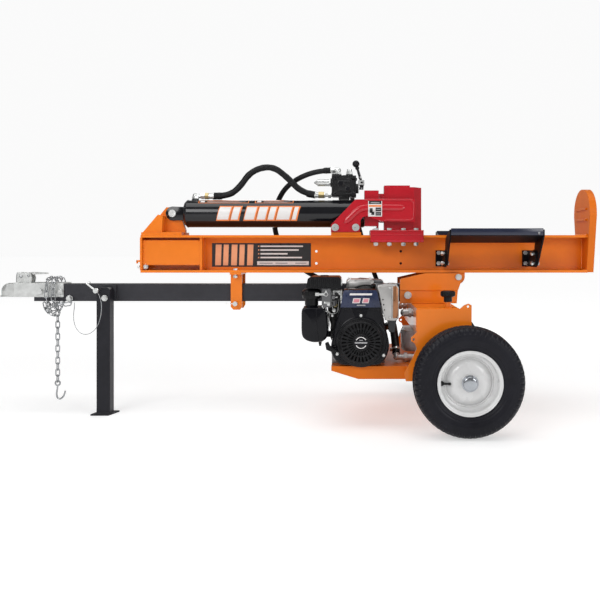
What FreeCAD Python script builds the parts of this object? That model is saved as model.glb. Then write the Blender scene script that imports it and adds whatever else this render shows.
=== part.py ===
import FreeCAD, Part
import math
import os

V = FreeCAD.Vector
os.makedirs("parts", exist_ok=True)

# ---------------------------------------------------------------------------
# Towed hydraulic log splitter.  Millimetres, +Z up, +X towards the foot plate
# (rear of the trailer), -X towards the hitch, -Y is the operator's side.
# Origin: centre of the footprint, on the ground.
# ---------------------------------------------------------------------------

# driving dimensions
TONGUE_W = 70.0            # square drawbar tube
TONGUE_WALL = 5.0
TONGUE_Z0, TONGUE_Z1 = 452.0, 522.0
TONGUE_X0, TONGUE_X1 = -1070.0, 600.0

BALL_X, BALL_Z = -1185.0, 492.0   # hitch ball centre
BALL_R = 25.9                     # socket for a 2 inch ball

BEAM_X0, BEAM_X1 = -623.0, 1186.0
BEAM_Z0, BEAM_Z1 = 570.0, 722.0   # 6 inch wide-flange beam
FLANGE_HALF, FLANGE_T, WEB_HALF = 72.0, 10.0, 4.0
HOLE_X, HOLE_Z, HOLE_DX, HOLE_DZ, HOLE_R = 260.0, 631.0, 350.0, 50.0, 5.25

PIVOT_X, PIVOT_Z, PIVOT_R = 661.0, 553.0, 10.0
FOOT_T = 28.0                     # foot plate; its back face is the vertical-mode foot

CYL_Z, CYL_R, CYL_BORE_R = 811.6, 57.0, 50.8
CYL_X0, CYL_X1 = -458.0, 283.0
CLEVIS_X = -504.0
ROD_R = 22.0
PUSH_X = 284.0                    # back face of the wedge, rod end

AXLE_X, AXLE_Z = 645.0, 198.0
WHEEL_Y = 420.0                   # wheel centre plane
TYRE_R, TYRE_HALF = 198.0, 57.0
SPINDLE_R = 12.7

TANK = (471.0, 628.0, -335.0, 335.0, 352.0, 447.0)
END_Y0, END_Y1 = 335.0, 341.0

TRAY_TOP = 231.0                  # engine base deck
CRANK_X, CRANK_Z = 266.0, 324.0

LEG_PX, LEG_PZ = -759.0, 469.0    # stand pivot
LEG_X0, LEG_X1, LEG_Y0, LEG_Y1 = -792.0, -738.0, -96.0, -50.0
PIN_X, PIN_Z = -786.0, 500.0      # stand lock pin


# ---------------------------------------------------------------------------
# helpers
# ---------------------------------------------------------------------------
def box(x0, x1, y0, y1, z0, z1):
    return Part.makeBox(x1 - x0, y1 - y0, z1 - z0, V(x0, y0, z0))


def cyl(r, p, d, h):
    return Part.makeCylinder(r, h, V(*p), V(*d))


def tube(ro, ri, p, d, h):
    dv = V(*d)
    dv.normalize()
    q = V(*p) - dv * 1.0
    return cyl(ro, p, d, h).cut(Part.makeCylinder(ri, h + 2.0, q, dv))


def cone(r0, r1, p, d, h):
    return Part.makeCone(r0, r1, h, V(*p), V(*d))


def prism(points, vec):
    wire = Part.makePolygon(points + [points[0]])
    return Part.Face(wire).extrude(vec)


def pxz(pts, y0, y1):
    return prism([V(x, y0, z) for x, z in pts], V(0, y1 - y0, 0))


def pyz(pts, x0, x1):
    return prism([V(x0, y, z) for y, z in pts], V(x1 - x0, 0, 0))


def pxy(pts, z0, z1):
    return prism([V(x, y, z0) for x, y in pts], V(0, 0, z1 - z0))


def frame_of(d):
    d = V(*d)
    d.normalize()
    a = V(0, 0, 1) if abs(d.z) < 0.9 else V(1, 0, 0)
    u = d.cross(a)
    u.normalize()
    w = d.cross(u)
    return d, u, w


def hexa(af, p, d, h, turn=0.0):
    d, u, w = frame_of(d)
    r = af / math.sqrt(3.0)
    c = V(*p)
    pts = [c + u * (r * math.cos(math.radians(60 * i + turn))) + w * (r * math.sin(math.radians(60 * i + turn))) for i in range(6)]
    return prism(pts, d * h)


def fuse(*shapes):
    out = shapes[0]
    if len(shapes) > 1:
        out = out.multiFuse(list(shapes[1:]))
    try:
        out = out.removeSplitter()
    except Exception:
        pass
    return out


def cut(shape, *tools):
    return shape.cut(list(tools)) if len(tools) > 1 else shape.cut(tools[0])


def group(shapes):
    solids = []
    for s in shapes:
        solids.extend(s.Solids)
    return Part.makeCompound(solids)


def bolt(p, d, r, length, af, head, nut=0.0, washer=0.0):
    """Hex bolt: p is under the head, d points from the head along the shank."""
    dv = V(*d)
    dv.normalize()
    pv = V(*p)
    parts = [hexa(af, tuple(pv), tuple(dv * -1), head), Part.makeCylinder(r, length, pv, dv)]
    if washer:
        parts.append(Part.makeCylinder(af * 0.62, washer, pv - dv * washer, dv))
    if nut:
        q = pv + dv * (length - nut - 2.0)
        parts.append(hexa(af, tuple(q), tuple(dv), nut))
    return fuse(*parts)


def revolve_y(profile, cx, cz, cy=0.0, sign=1.0):
    """profile: (radius, outward distance); turned about a Y axis through cx, cz."""
    pts = [V(cx + r, cy + sign * t, cz) for r, t in profile]
    face = Part.Face(Part.makePolygon(pts + [pts[0]]))
    return face.revolve(V(cx, 0, cz), V(0, 1, 0), 360)


def band(points, t):
    """closed outline of a sheet of thickness t about a polyline of (a, b) points"""
    left, right = [], []
    n = len(points)
    for i, (a, b) in enumerate(points):
        dirs = []
        if i > 0:
            dirs.append((a - points[i - 1][0], b - points[i - 1][1]))
        if i < n - 1:
            dirs.append((points[i + 1][0] - a, points[i + 1][1] - b))
        norms = []
        for dx, dy in dirs:
            length = math.hypot(dx, dy)
            norms.append((-dy / length, dx / length))
        nx = sum(v[0] for v in norms)
        ny = sum(v[1] for v in norms)
        length = math.hypot(nx, ny)
        nx, ny = nx / length, ny / length
        scale = 1.0 / max(0.35, nx * norms[0][0] + ny * norms[0][1])
        left.append((a + nx * t / 2 * scale, b + ny * t / 2 * scale))
        right.append((a - nx * t / 2 * scale, b - ny * t / 2 * scale))
    return left + right[::-1]


def cord_path(points, name):
    """straight runs joined by tangent arcs; each arc is as large as its runs allow"""
    pts = [V(*p) for p in points]
    edges = []
    radii = []
    start = pts[0]
    length = 0.0
    for i in range(1, len(pts) - 1):
        a, b, c = pts[i - 1], pts[i], pts[i + 1]
        u, w = a - b, c - b
        lu, lw = u.Length, w.Length
        u.normalize()
        w.normalize()
        turn = math.pi - u.getAngle(w)
        back = 0.45 * min(lu, lw)
        r = back / math.tan(turn / 2)
        radii.append(r)
        p1 = b + u * back
        p2 = b + w * back
        bis = u + w
        bis.normalize()
        mid = b + bis * (math.hypot(r, back) - r)
        edges.append(Part.LineSegment(start, p1).toShape())
        edges.append(Part.Arc(p1, mid, p2).toShape())
        length += (p1 - start).Length + r * turn
        start = p2
    edges.append(Part.LineSegment(start, pts[-1]).toShape())
    length += (pts[-1] - start).Length
    print(name, "radii", " ".join("%.0f" % r for r in radii), "length %.0f" % length)
    return Part.Wire(edges), length


def cord(points, r, name):
    wire, length = cord_path(points, name)
    d = V(*points[1]) - V(*points[0])
    d.normalize()
    circle = Part.Wire(Part.Circle(V(*points[0]), d, r).toShape())
    solid = wire.makePipeShell([circle], True, False)
    want = math.pi * r * r * length
    print("   volume ratio %.4f valid %s" % (solid.Volume / want, solid.isValid()))
    return solid


def save(name, shape):
    bad = not shape.isValid()
    n = len(shape.Solids)
    if bad or n == 0:
        print("PROBLEM", name, "valid", shape.isValid(), "solids", n)
    shape.exportStep("parts/%s.step" % name)
    print("%-24s solids %2d  volume %.0f" % (name, n, shape.Volume))


def arc_pts(cx, cz, r, a0, a1, n):
    return [(cx + r * math.cos(math.radians(a0 + (a1 - a0) * i / n)), cz + r * math.sin(math.radians(a0 + (a1 - a0) * i / n))) for i in range(n + 1)]


# ---------------------------------------------------------------------------
# drawbar, coupler, safety chain
# ---------------------------------------------------------------------------
coupler_bolt_x = (-1041.0, -958.0)
tongue = box(TONGUE_X0, TONGUE_X1, -35, 35, TONGUE_Z0, TONGUE_Z1)
tongue = cut(tongue, box(TONGUE_X0 - 1, TONGUE_X1 + 1, -30, 30, TONGUE_Z0 + 5, TONGUE_Z1 - 5))
tongue = cut(tongue,
             *[cyl(6.3, (x, -60, 492), (0, 1, 0), 120) for x in coupler_bolt_x],
             cyl(8.2, (LEG_PX, -60, LEG_PZ), (0, 1, 0), 120),
             cyl(6.3, (PIN_X, -60, PIN_Z), (0, 1, 0), 40),
             cyl(8.3, (458, -60, 480), (0, 1, 0), 120),
             cyl(6.3, (-925, -60, 462), (0, 1, 0), 120))
# boss plate that spaces the stand off the tube
boss = cut(box(-800, -730, -48, -35, 456, 518), cyl(8.2, (LEG_PX, -60, LEG_PZ), (0, 1, 0), 60), cyl(6.3, (PIN_X, -60, PIN_Z), (0, 1, 0), 60))
tongue = fuse(tongue, boss)
save("tongue_tube", tongue)

channel = cut(box(-1152, -947, -41, 41, 469, 527), box(-1160, -940, -35.5, 35.5, 460, 522.5))
dome = fuse(cyl(33, (BALL_X, 0, 469), (0, 0, 1), BALL_Z - 469), cut(Part.makeSphere(33, V(BALL_X, 0, BALL_Z)), box(-1300, -1100, -50, 50, 400, BALL_Z)))
neck = pxy([(-1185, -33), (-1150, -41), (-1148, -41), (-1148, 41), (-1150, 41), (-1185, 33)], 469, 524)
lip = cut(cyl(38, (BALL_X, 0, 469), (0, 0, 1), 4), box(-1150, -1100, -50, 50, 460, 480))
coupler = fuse(channel, dome, neck, lip)
socket = fuse(cyl(BALL_R, (BALL_X, 0, 460), (0, 0, 1), BALL_Z - 460), Part.makeSphere(BALL_R, V(BALL_X, 0, BALL_Z)))
slot = box(-1175, -1140, -15, 15, 460, 520)
coupler = cut(coupler, socket, slot)
latch_ear = [(-1150, 526), (-1090, 526), (-1086, 545), (-1092, 566), (-1146, 570), (-1150, 560)]
ears = [pxz(latch_ear, -20, -16), pxz(latch_ear, 16, 20)]
coupler = fuse(coupler, *ears)
clamp_pin = cyl(4.0, (-1135, -38, 505), (0, 1, 0), 76)
latch_pin = cyl(5.0, (-1130, -23, 552), (0, 1, 0), 46)
second_pin = cyl(4.0, (-1100, -22, 555), (0, 1, 0), 6)
second_pin2 = cyl(4.0, (-1100, 16, 555), (0, 1, 0), 6)
coupler = fuse(coupler, clamp_pin, latch_pin, second_pin, second_pin2)
coupler = cut(coupler, *[cyl(6.3, (x, -60, 492), (0, 1, 0), 120) for x in coupler_bolt_x])
save("hitch_coupler", coupler)

latch = fuse(pxz([(-1144, 539), (-1138, 530.5), (-1106, 530.5), (-1104, 562), (-1142, 564)], -13, 13),
             pxz([(-1110, 552), (-1090, 560), (-1031, 562), (-1029, 567), (-1096, 570), (-1112, 564)], -12, 12))
latch = cut(latch, cyl(5.06, (-1130, -40, 552), (0, 1, 0), 80))
save("coupler_latch", latch)

clamp = pxz([(-1158, 472), (-1149, 471), (-1127, 498), (-1127, 512), (-1142, 513), (-1158.3, 488)], -13, 13)
clamp = cut(clamp, cyl(4.06, (-1135, -30, 505), (0, 1, 0), 60))
save("ball_clamp", clamp)

LINK_R, LINK_W, LINK_S, LINK_PITCH = 2.5, 7.5, 15.0, 24.4


def make_link(LINK_R):
    h = LINK_S / 2
    pts = [V(-h, LINK_W, 0), V(h, LINK_W, 0), V(h, -LINK_W, 0), V(-h, -LINK_W, 0)]
    a = Part.makeCylinder(LINK_R, LINK_S, pts[0], V(1, 0, 0))
    b = Part.makeCylinder(LINK_R, LINK_S, pts[3], V(1, 0, 0))
    t1 = Part.makeTorus(LINK_W, LINK_R, V(h, 0, 0), V(0, 0, 1))
    t1 = t1.common(Part.makeBox(20, 30, 20, V(h, -15, -10)))
    t2 = Part.makeTorus(LINK_W, LINK_R, V(-h, 0, 0), V(0, 0, 1))
    t2 = t2.common(Part.makeBox(20, 30, 20, V(-h - 20, -15, -10)))
    return fuse(a, b, t1, t2)


LINK = make_link(LINK_R)
SLACK_LINK = make_link(LINK_R - 0.35)


def place_link(centre, direction, roll, link=None):
    d = V(*direction)
    d.normalize()
    rot = FreeCAD.Rotation(V(1, 0, 0), d)
    rot = rot.multiply(FreeCAD.Rotation(V(1, 0, 0), roll))
    s = (link or LINK).copy()
    s.Placement = FreeCAD.Placement(V(*centre), rot)
    return s


def chain_along(points, roll0=0.0, skip=0):
    """links every pitch along a polyline"""
    pts = [V(*p) for p in points]
    seg = []
    total = 0.0
    for a, b in zip(pts, pts[1:]):
        seg.append((total, a, b))
        total += (b - a).Length
    out = []
    n = int(total / LINK_PITCH)
    for i in range(skip, n):
        s = (i + 0.5) * LINK_PITCH
        for t0, a, b in seg:
            if t0 <= s <= t0 + (b - a).Length + 1e-6:
                d = b - a
                L = d.Length
                d.normalize()
                c = a + d * (s - t0)
                out.append(place_link(tuple(c), tuple(d), roll0 + 90.0 * (i % 2)))
                break
    return out


def loop_links(x, dx, phase, gap):
    """links laid round coupler and drawbar on a rounded loop in the YZ plane"""
    ry, rz, cz, k = 59.0, 56.0, 489.5, 3.0
    pts = []
    for i in range(721):
        a = math.radians(phase + 0.5 * i)
        c, s = math.cos(a), math.sin(a)
        q = 1.0 / ((abs(c) ** k + abs(s) ** k) ** (1.0 / k))
        pts.append((ry * c * q, cz + rz * s * q))
    total = sum(math.hypot(pts[i + 1][0] - pts[i][0], pts[i + 1][1] - pts[i][1]) for i in range(720))
    n = 2 * int(math.ceil(total / gap / 2))
    step = total / n
    out = []
    run, k2 = 0.0, 0
    for i in range(720):
        d = math.hypot(pts[i + 1][0] - pts[i][0], pts[i + 1][1] - pts[i][1])
        if run + d >= (k2 + 0.5) * step and k2 < n:
            out.append(place_link((x + dx * k2 / n, pts[i][0], pts[i][1]), (dx / 720.0, pts[i + 1][0] - pts[i][0], pts[i + 1][1] - pts[i][1]), 90.0 * (k2 % 2), SLACK_LINK))
            k2 += 1
        run += d
    return out


wrap = loop_links(-1012.0, 6.0, 20.0, 24.6) + loop_links(-985.0, 6.0, 33.0, 24.6)
wrap += chain_along([(-1014, -54, 422), (-968, -54, 402)], 20.0)[:1]
CHAIN_X, CHAIN_Y, CHAIN_Z = -966.0, -52.0, 395.0
wrap += [place_link((-966, -52, 430.4), (0.0, 0.0, -1), 0, SLACK_LINK), place_link((-966, -52, 406.2), (0.0, 0, -1), 90, SLACK_LINK), place_link((-966, -52, 382.0), (0.0, 0, -1), 0, SLACK_LINK)]
save("safety_chain_wrap", fuse(*wrap))

# ten free links; the first one turns on the last wrapped link
chain_links = [place_link((CHAIN_X, CHAIN_Y, 357.6 - LINK_PITCH * i), (0, 0, -1), 90.0 * ((i + 1) % 2)) for i in range(10)]
save("safety_chain", group(chain_links))

# hook: round eye on the last link, shank and bowl
EYE_Z = 119.5
hook_pts = [(CHAIN_X, CHAIN_Y, 110), (CHAIN_X - 2, CHAIN_Y, 94), (CHAIN_X - 5, CHAIN_Y, 76), (CHAIN_X - 2, CHAIN_Y, 58.5), (CHAIN_X + 12, CHAIN_Y, 54.5), (CHAIN_X + 25, CHAIN_Y, 66.5), (CHAIN_X + 31, CHAIN_Y, 87.5)]
hook_eye = Part.makeTorus(9.6, 3.2, V(CHAIN_X, CHAIN_Y, EYE_Z), V(0, 1, 0))
save("chain_hook", fuse(hook_eye, cord(hook_pts, 3.4, "chain_hook")))

# ---------------------------------------------------------------------------
# folding stand
# ---------------------------------------------------------------------------
cx_leg = (LEG_X0 + LEG_X1) / 2
ear = [(LEG_X0, 440)] + [(LEG_X1, 440)] + arc_pts(LEG_X1 - 14, 511 - 14, 14, 0, 90, 5) + arc_pts(LEG_X0 + 14, 511 - 14, 14, 90, 180, 5)
leg = fuse(pxz(ear, LEG_Y0, LEG_Y1), box(LEG_X0, LEG_X1, LEG_Y0, LEG_Y1, 6, 445))
leg = cut(leg, box(LEG_X0 + 4, LEG_X1 - 4, LEG_Y0 + 4, LEG_Y1 + 10, 12, 500))
foot = pxy([(LEG_X0 - 20, -108), (LEG_X1 - 2, -108), (LEG_X1 + 20, -40), (LEG_X0 - 2, -40)], 0, 6)
leg = fuse(leg, foot, cut(box(LEG_X0 + 4, LEG_X1 - 4, LEG_Y0, LEG_Y1, 452, 490), box(LEG_X0 + 8, LEG_X1 - 8, LEG_Y0 + 8, LEG_Y1 - 8, 440, 500)))
leg = cut(leg, cyl(8.08, (LEG_PX, -120, LEG_PZ), (0, 1, 0), 100), cyl(6.2, (PIN_X, -120, PIN_Z), (0, 1, 0), 100))
save("stand_leg", leg)

pin = fuse(cyl(6.1, (PIN_X, -116.5, PIN_Z), (0, 1, 0), 67), cyl(10, (PIN_X, -126, PIN_Z), (0, 1, 0), 10))
handle = fuse(cyl(3.2, (PIN_X, -121, PIN_Z), (-0.78, 0, 0.6), 46),
              Part.makeSphere(3.2, V(PIN_X - 0.78 * 46 / math.hypot(.78, .6), -121, PIN_Z + 0.6 * 46 / math.hypot(.78, .6))),
              cyl(3.2, (PIN_X - 0.78 * 46 / math.hypot(.78, .6), -121, PIN_Z + 0.6 * 46 / math.hypot(.78, .6)), (1.0, 0.25, 0.42), 16))
save("stand_lock_pin", fuse(pin, handle))

lan = [(-776, -129.5, 496), (-764, -129.5, 474), (-760, -127, 440), (-765, -121, 402), (-778, -115, 363), (-802, -109, 333),
       (-836, -102, 321), (-868, -92, 334), (-889, -80, 366), (-896, -67, 402), (-897, -53, 432), (-901, -44, 447)]
save("pin_lanyard", cord(lan, 1.3, "pin_lanyard"))

# ---------------------------------------------------------------------------
# beam mounting bracket, pivot
# ---------------------------------------------------------------------------
upper = [(426, 500), (660, 500), (672, 535), (677.5, 548), (677.5, 558), (669, 568.5), (527, 568.5), (426, 545)]
lower = [(426, 447), (655, 447), (660, 506), (426, 506)]
bracket_parts = []
for s in (-1, 1):
    ya, yb = sorted((s * 80, s * 88))
    yc, yd = sorted((s * 75, s * 84))
    bracket_parts += [pxz(upper, ya, yb), pxz(lower, yc, yd)]
bracket_parts.append(box(426, 655, -84, 84, 447, 452))
for x0 in (436.0, 588.0):
    bracket_parts.append(box(x0, x0 + 8, -80, -35.2, 451, 520))
    bracket_parts.append(box(x0, x0 + 8, 35.2, 80, 451, 520))
bracket = fuse(*bracket_parts)
bracket = cut(bracket, cyl(PIVOT_R + 0.15, (PIVOT_X, -120, PIVOT_Z), (0, 1, 0), 240), cyl(8.3, (458, -120, 480), (0, 1, 0), 240))
save("beam_mount_bracket", bracket)

fasteners = []
pivot_pin = fuse(cyl(PIVOT_R, (PIVOT_X, -97, PIVOT_Z), (0, 1, 0), 194), cyl(12.5, (PIVOT_X, -94, PIVOT_Z), (0, 1, 0), 5.5),
                 cyl(13.5, (PIVOT_X, 89, PIVOT_Z), (0, 1, 0), 5))
fasteners.append(pivot_pin)
fasteners.append(bolt((458, -85.5, 480), (0, 1, 0), 8, 184, 24, 10, nut=12, washer=1.2))
for x in coupler_bolt_x:
    fasteners.append(bolt((x, -42.6, 492), (0, 1, 0), 6, 100, 18, 7.5, nut=9, washer=1.2))
# stand pivot bolt
fasteners.append(bolt((LEG_PX, -97.5, LEG_PZ), (0, 1, 0), 8, 152, 20, 8, nut=10, washer=1.2))
# chain anchor bolt with its large washer
fasteners.append(fuse(bolt((-925, -37, 462), (0, 1, 0), 6, 96, 18, 8, nut=9), tube(14, 5.5, (-925, -36.8, 462), (0, 1, 0), 1.6)))
# engine hold-down bolts
for x, y in ((196, -205), (336, -205), (196, -90), (336, -90)):
    fasteners.append(bolt((x, y, 247.2), (0, 0, -1), 4, 31, 13, 6, nut=7))
save("chassis_bolts", group(fasteners))

# ---------------------------------------------------------------------------
# hydraulic tank, end plates, axle
# ---------------------------------------------------------------------------
x0, x1, y0, y1, z0, z1 = TANK
NECK_X, NECK_Y = 591.0, -290.0
tank = box(*TANK)
tank = fuse(tank, cyl(11, (NECK_X, NECK_Y, z1 - 1), (0, 0, 1), 40), cyl(17, (NECK_X, NECK_Y, z1 - 1), (0, 0, 1), 6))
tank = cut(tank, box(x0 + 3.5, x1 - 3.5, y0 + 3.5, y1 - 3.5, z0 + 3.5, z1 - 3.5), cyl(8, (NECK_X, NECK_Y, z1 - 10), (0, 0, 1), 60))
save("hydraulic_tank", tank)

cap = fuse(cyl(26, (NECK_X, NECK_Y, 492), (0, 0, 1), 16), cone(22, 26, (NECK_X, NECK_Y, 488.5), (0, 0, 1), 4), cone(26, 23, (NECK_X, NECK_Y, 508), (0, 0, 1), 2.5),
           cyl(15.5, (NECK_X, NECK_Y, 470), (0, 0, 1), 20))
cap = cut(cap, cyl(11.08, (NECK_X, NECK_Y, 460), (0, 0, 1), 28))
cap = fuse(cap, cyl(2.5, (NECK_X, NECK_Y, 375), (0, 0, 1), 116))
save("breather_cap", cap)

plate = [(471, 447), (628, 447), (644, 461), (660, 467), (671, 461), (671, 300), (676, 262), (690, 225), (690, 172), (600, 172), (560, 182.5), (430, 182.5),
         (424, 214), (452, 262), (470, 302), (462, 322), (449, 330), (449, 342), (471, 363)]
plates = []
for s in (-1, 1):
    ya, yb = sorted((s * END_Y0, s * END_Y1))
    p = pxz(plate, ya, yb)
    p = cut(p, cyl(SPINDLE_R + 0.4, (AXLE_X, ya - 5, AXLE_Z), (0, 1, 0), 20), cyl(4.5, (459, ya - 5, 336), (0, 1, 0), 20), cyl(4.5, (658, ya - 5, 456), (0, 1, 0), 20))
    plates.append(p)
save("tank_end_plates", group(plates))

axle = cut(box(AXLE_X - 25, AXLE_X + 25, -END_Y0, END_Y0, AXLE_Z - 25, AXLE_Z + 25), box(AXLE_X - 20, AXLE_X + 20, -END_Y0 + 12, END_Y0 - 12, AXLE_Z - 20, AXLE_Z + 20))
axle = cut(axle, cyl(6, (AXLE_X, 0, AXLE_Z - 30), (0, 0, 1), 20))
for s in (-1, 1):
    ya = s * (END_Y0 - 2)
    axle = fuse(axle, cyl(SPINDLE_R, (AXLE_X, ya, AXLE_Z), (0, s, 0), 132), tube(18, SPINDLE_R - 0.5, (AXLE_X, s * (END_Y1 + 0.2), AXLE_Z), (0, s, 0), 43),
                hexa(30, (AXLE_X, s * 460.6, AXLE_Z), (0, s, 0), 9))
save("axle", axle)

# bearings: inner/outer ring pairs kept on the spindles; the hub runs on them
bear = []
for s in (-1, 1):
    for t in (-34.5, 27.0):
        bear.append(tube(22.0, SPINDLE_R + 0.05, (AXLE_X, s * (WHEEL_Y + t) if s > 0 else s * (WHEEL_Y + t), AXLE_Z), (0, s, 0), 13))
save("wheel_bearings", group(bear))

# ---------------------------------------------------------------------------
# wheels
# ---------------------------------------------------------------------------
half = [(105.3, 43.0), (112, 47.2), (122, 50.0), (136, 54.5), (152, 57.0), (168, 56.4), (181, 52.5), (189.5, 45.5), (194.5, 36.0), (197.0, 18.0)]
outer = half + [(198.0, 0.0)] + [(r, -t) for r, t in half[::-1]]
half_in = [(105.3, 31.0), (116, 38.0), (136, 46.0), (152, 48.5), (168, 47.5), (178, 42.0), (184, 33.0), (187.0, 16.0)]
inner = [(r, -t) for r, t in half_in] + [(188.0, 0.0)] + half_in[::-1]
tyre_profile = outer + inner
for s, side in ((-1, "left"), (1, "right")):
    tyre = revolve_y(tyre_profile, AXLE_X, AXLE_Z, s * WHEEL_Y, s)
    save("tyre_" + side, tyre)
    barrel = band([(115.2, 51.5), (111.0, 49.6), (104.5, 47.5), (102.9, 38.0), (101.4, 24.0), (90.0, 16.0), (90.0, -16.0), (101.4, -24.0), (102.9, -38.0), (104.5, -47.5), (111.0, -49.6), (115.2, -51.5)], 2.8)
    web = band([(90.6, 8.0), (84.0, 9.0), (74.0, 15.5), (64.0, 22.0), (46.0, 26.5), (25.5, 28.0)], 3.4)
    rim = fuse(revolve_y(barrel, AXLE_X, AXLE_Z, s * WHEEL_Y, s), revolve_y(web, AXLE_X, AXLE_Z, s * WHEEL_Y, s),
               revolve_y([(22.08, -35.0), (28.0, -35.0), (28.0, 41.0), (22.08, 41.0)], AXLE_X, AXLE_Z, s * WHEEL_Y, s))
    save("rim_" + side, rim)

# ---------------------------------------------------------------------------
# engine base
# ---------------------------------------------------------------------------
side_strip = [(156, TRAY_TOP), (585, TRAY_TOP), (585, 183), (256, 183), (156, 214)]
base = fuse(box(156, 668, -300, 300, TRAY_TOP - 5, TRAY_TOP), pxz(side_strip, -300, -295), pxz(side_strip, 295, 300), box(156, 161, -300, 300, 214, TRAY_TOP),
            box(560, 585, -335, -299, 186, TRAY_TOP), box(560, 585, 299, 335, 186, TRAY_TOP), box(AXLE_X - 22, AXLE_X + 22, -295, 295, AXLE_Z + 25, TRAY_TOP - 4))
base = cut(base, *[cyl(4.3, (x, y, 215), (0, 0, 1), 40) for x, y in ((196, -205), (336, -205), (196, -90), (336, -90))])
save("engine_base", base)

# ---------------------------------------------------------------------------
# engine
# ---------------------------------------------------------------------------
case = fuse(box(176, 356, -228, -72, 247, 398), box(170, 358, -224, -76, TRAY_TOP, 247), cyl(52, (CRANK_X, -72, CRANK_Z), (0, 1, 0), 12))
cyl_block = pxz([(236, 398), (340, 398), (352, 500), (262, 506)], -205, -95)
fins = [pxz([(226, 410 + 14 * i), (354, 404 + 14 * i), (354.5, 409 + 14 * i), (226.5, 415 + 14 * i)], -216, -84) for i in range(6)]
head = pxz([(256, 500), (356, 494), (360, 532), (262, 540)], -212, -88)
foot_l = box(156, 200, -230, -180, TRAY_TOP, 262)
engine = fuse(case, cyl_block, head, foot_l, *fins)
engine = cut(engine, cyl(46, (CRANK_X, -222, CRANK_Z), (0, 1, 0), 144), cyl(16.2, (CRANK_X, -240, CRANK_Z), (0, 1, 0), 200),
             cyl(30.5, (302, -150, 380), (0.06, 0, 1), 132),
             *[cyl(4.3, (x, y, 215), (0, 0, 1), 40) for x, y in ((196, -205), (336, -205), (196, -90), (336, -90))],
             *[box(x - 9, x + 9, y - 9, y + 9, 247, 262) for x, y in ((196, -205), (336, -205), (196, -90), (336, -90))])
save("engine_crankcase", engine)

housing_out = [(196, 517), (325, 517), (337, 505), (345, 440), (366, 352), (368, 315), (352, 262), (330, 236), (200, 236), (163, 262), (149, 315), (151, 345), (176, 420), (184, 505)]
housing_in = [(199, 513), (322, 513), (333, 503), (341, 440), (362, 352), (364, 316), (349, 264), (328, 240), (202, 240), (166, 264), (153, 316), (155, 345), (180, 420), (188, 503)]
housing = cut(pxz(housing_out, -318, -231), pxz(housing_in, -314, -220))
housing = cut(housing, cyl(84, (CRANK_X, -330, CRANK_Z), (0, 1, 0), 40))
save("blower_housing", housing)

# recoil starter cover: stepped dome, vented
cover = fuse(cyl(88, (CRANK_X, -323, CRANK_Z), (0, 1, 0), 4.5), cyl(82, (CRANK_X, -334, CRANK_Z), (0, 1, 0), 14), cone(72, 78, (CRANK_X, -342, CRANK_Z), (0, 1, 0), 10))
cover = cut(cover, cyl(79, (CRANK_X, -331, CRANK_Z), (0, 1, 0), 20), cyl(68, (CRANK_X, -338.5, CRANK_Z), (0, 1, 0), 20))
spokes = []
for i in range(30):
    a = math.radians(12 * i + 6)
    ca, sa = math.cos(a), math.sin(a)
    w = 1.7
    pts = [(30, -w), (60, -w - 0.8), (60, w + 0.8), (30, w)]
    spokes.append(pxz([(CRANK_X + r * ca - t * sa, CRANK_Z + r * sa + t * ca) for r, t in pts], -345, -336))
cover = cut(cover, *spokes)
rope_exit = box(CRANK_X - 90, CRANK_X - 62, -333, -323, CRANK_Z - 48, CRANK_Z - 36)
cover = cut(cover, rope_exit)
save("starter_cover", cover)

grip = fuse(pxz([(135, 322), (139, 300), (172, 286), (176, 296), (152, 312), (146, 326)], -352, -326))
save("starter_grip", grip)

# crankshaft with flywheel, shaft coupling and pump drive gear (one turning line)
GEAR_DX = 36.0


def gear(cx, cz, ya, yb, phase):
    n = 12
    pts = []
    for i in range(n):
        a = 2 * math.pi * i / n + phase
        for r, w in ((15.0, -2.5), (20.5, -1.1), (20.5, 1.1), (15.0, 2.5)):
            pts.append((cx + r * math.cos(a) - w * math.sin(a), cz + r * math.sin(a) + w * math.cos(a)))
    return pxz(pts, ya, yb)


blades = []
for i in range(16):
    a = math.radians(22.5 * i)
    pts = [(40, -1.5), (72, -1.5), (72, 1.5), (40, 1.5)]
    blades.append(pxz([(CRANK_X + r * math.cos(a) - t * math.sin(a), CRANK_Z + r * math.sin(a) + t * math.cos(a)) for r, t in pts], -305, -284))
crank = fuse(cyl(78, (CRANK_X, -286, CRANK_Z), (0, 1, 0), 22), cyl(38, (CRANK_X, -304, CRANK_Z), (0, 1, 0), 20), *blades)
crank = fuse(crank, cyl(16.1, (CRANK_X, -266, CRANK_Z), (0, 1, 0), 50), cyl(13, (CRANK_X, -220, CRANK_Z), (0, 1, 0), 150), cyl(16.1, (CRANK_X, -84, CRANK_Z), (0, 1, 0), 26),
             cyl(12.7, (CRANK_X, -60, CRANK_Z), (0, 1, 0), 40), cyl(24, (CRANK_X, -46, CRANK_Z), (0, 1, 0), 80), cyl(8, (CRANK_X, 30, CRANK_Z), (0, 1, 0), 110),
             gear(CRANK_X, CRANK_Z, 78, 118, 0.0))
crank = fuse(crank, pxz([(CRANK_X - 14, CRANK_Z - 40), (CRANK_X + 14, CRANK_Z - 40), (CRANK_X + 10, CRANK_Z), (CRANK_X - 10, CRANK_Z)], -190, -176),
             pxz([(CRANK_X - 14, CRANK_Z - 40), (CRANK_X + 14, CRANK_Z - 40), (CRANK_X + 10, CRANK_Z), (CRANK_X - 10, CRANK_Z)], -124, -110))
save("crankshaft", crank)

air = fuse(pxz([(62, 524), (68, 556), (82, 563), (184, 563), (192, 556), (192, 520), (62, 520)], -300, -150))
air = cut(air, box(72, 184, -292, -158, 514, 550))
save("air_cleaner", air)

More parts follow.
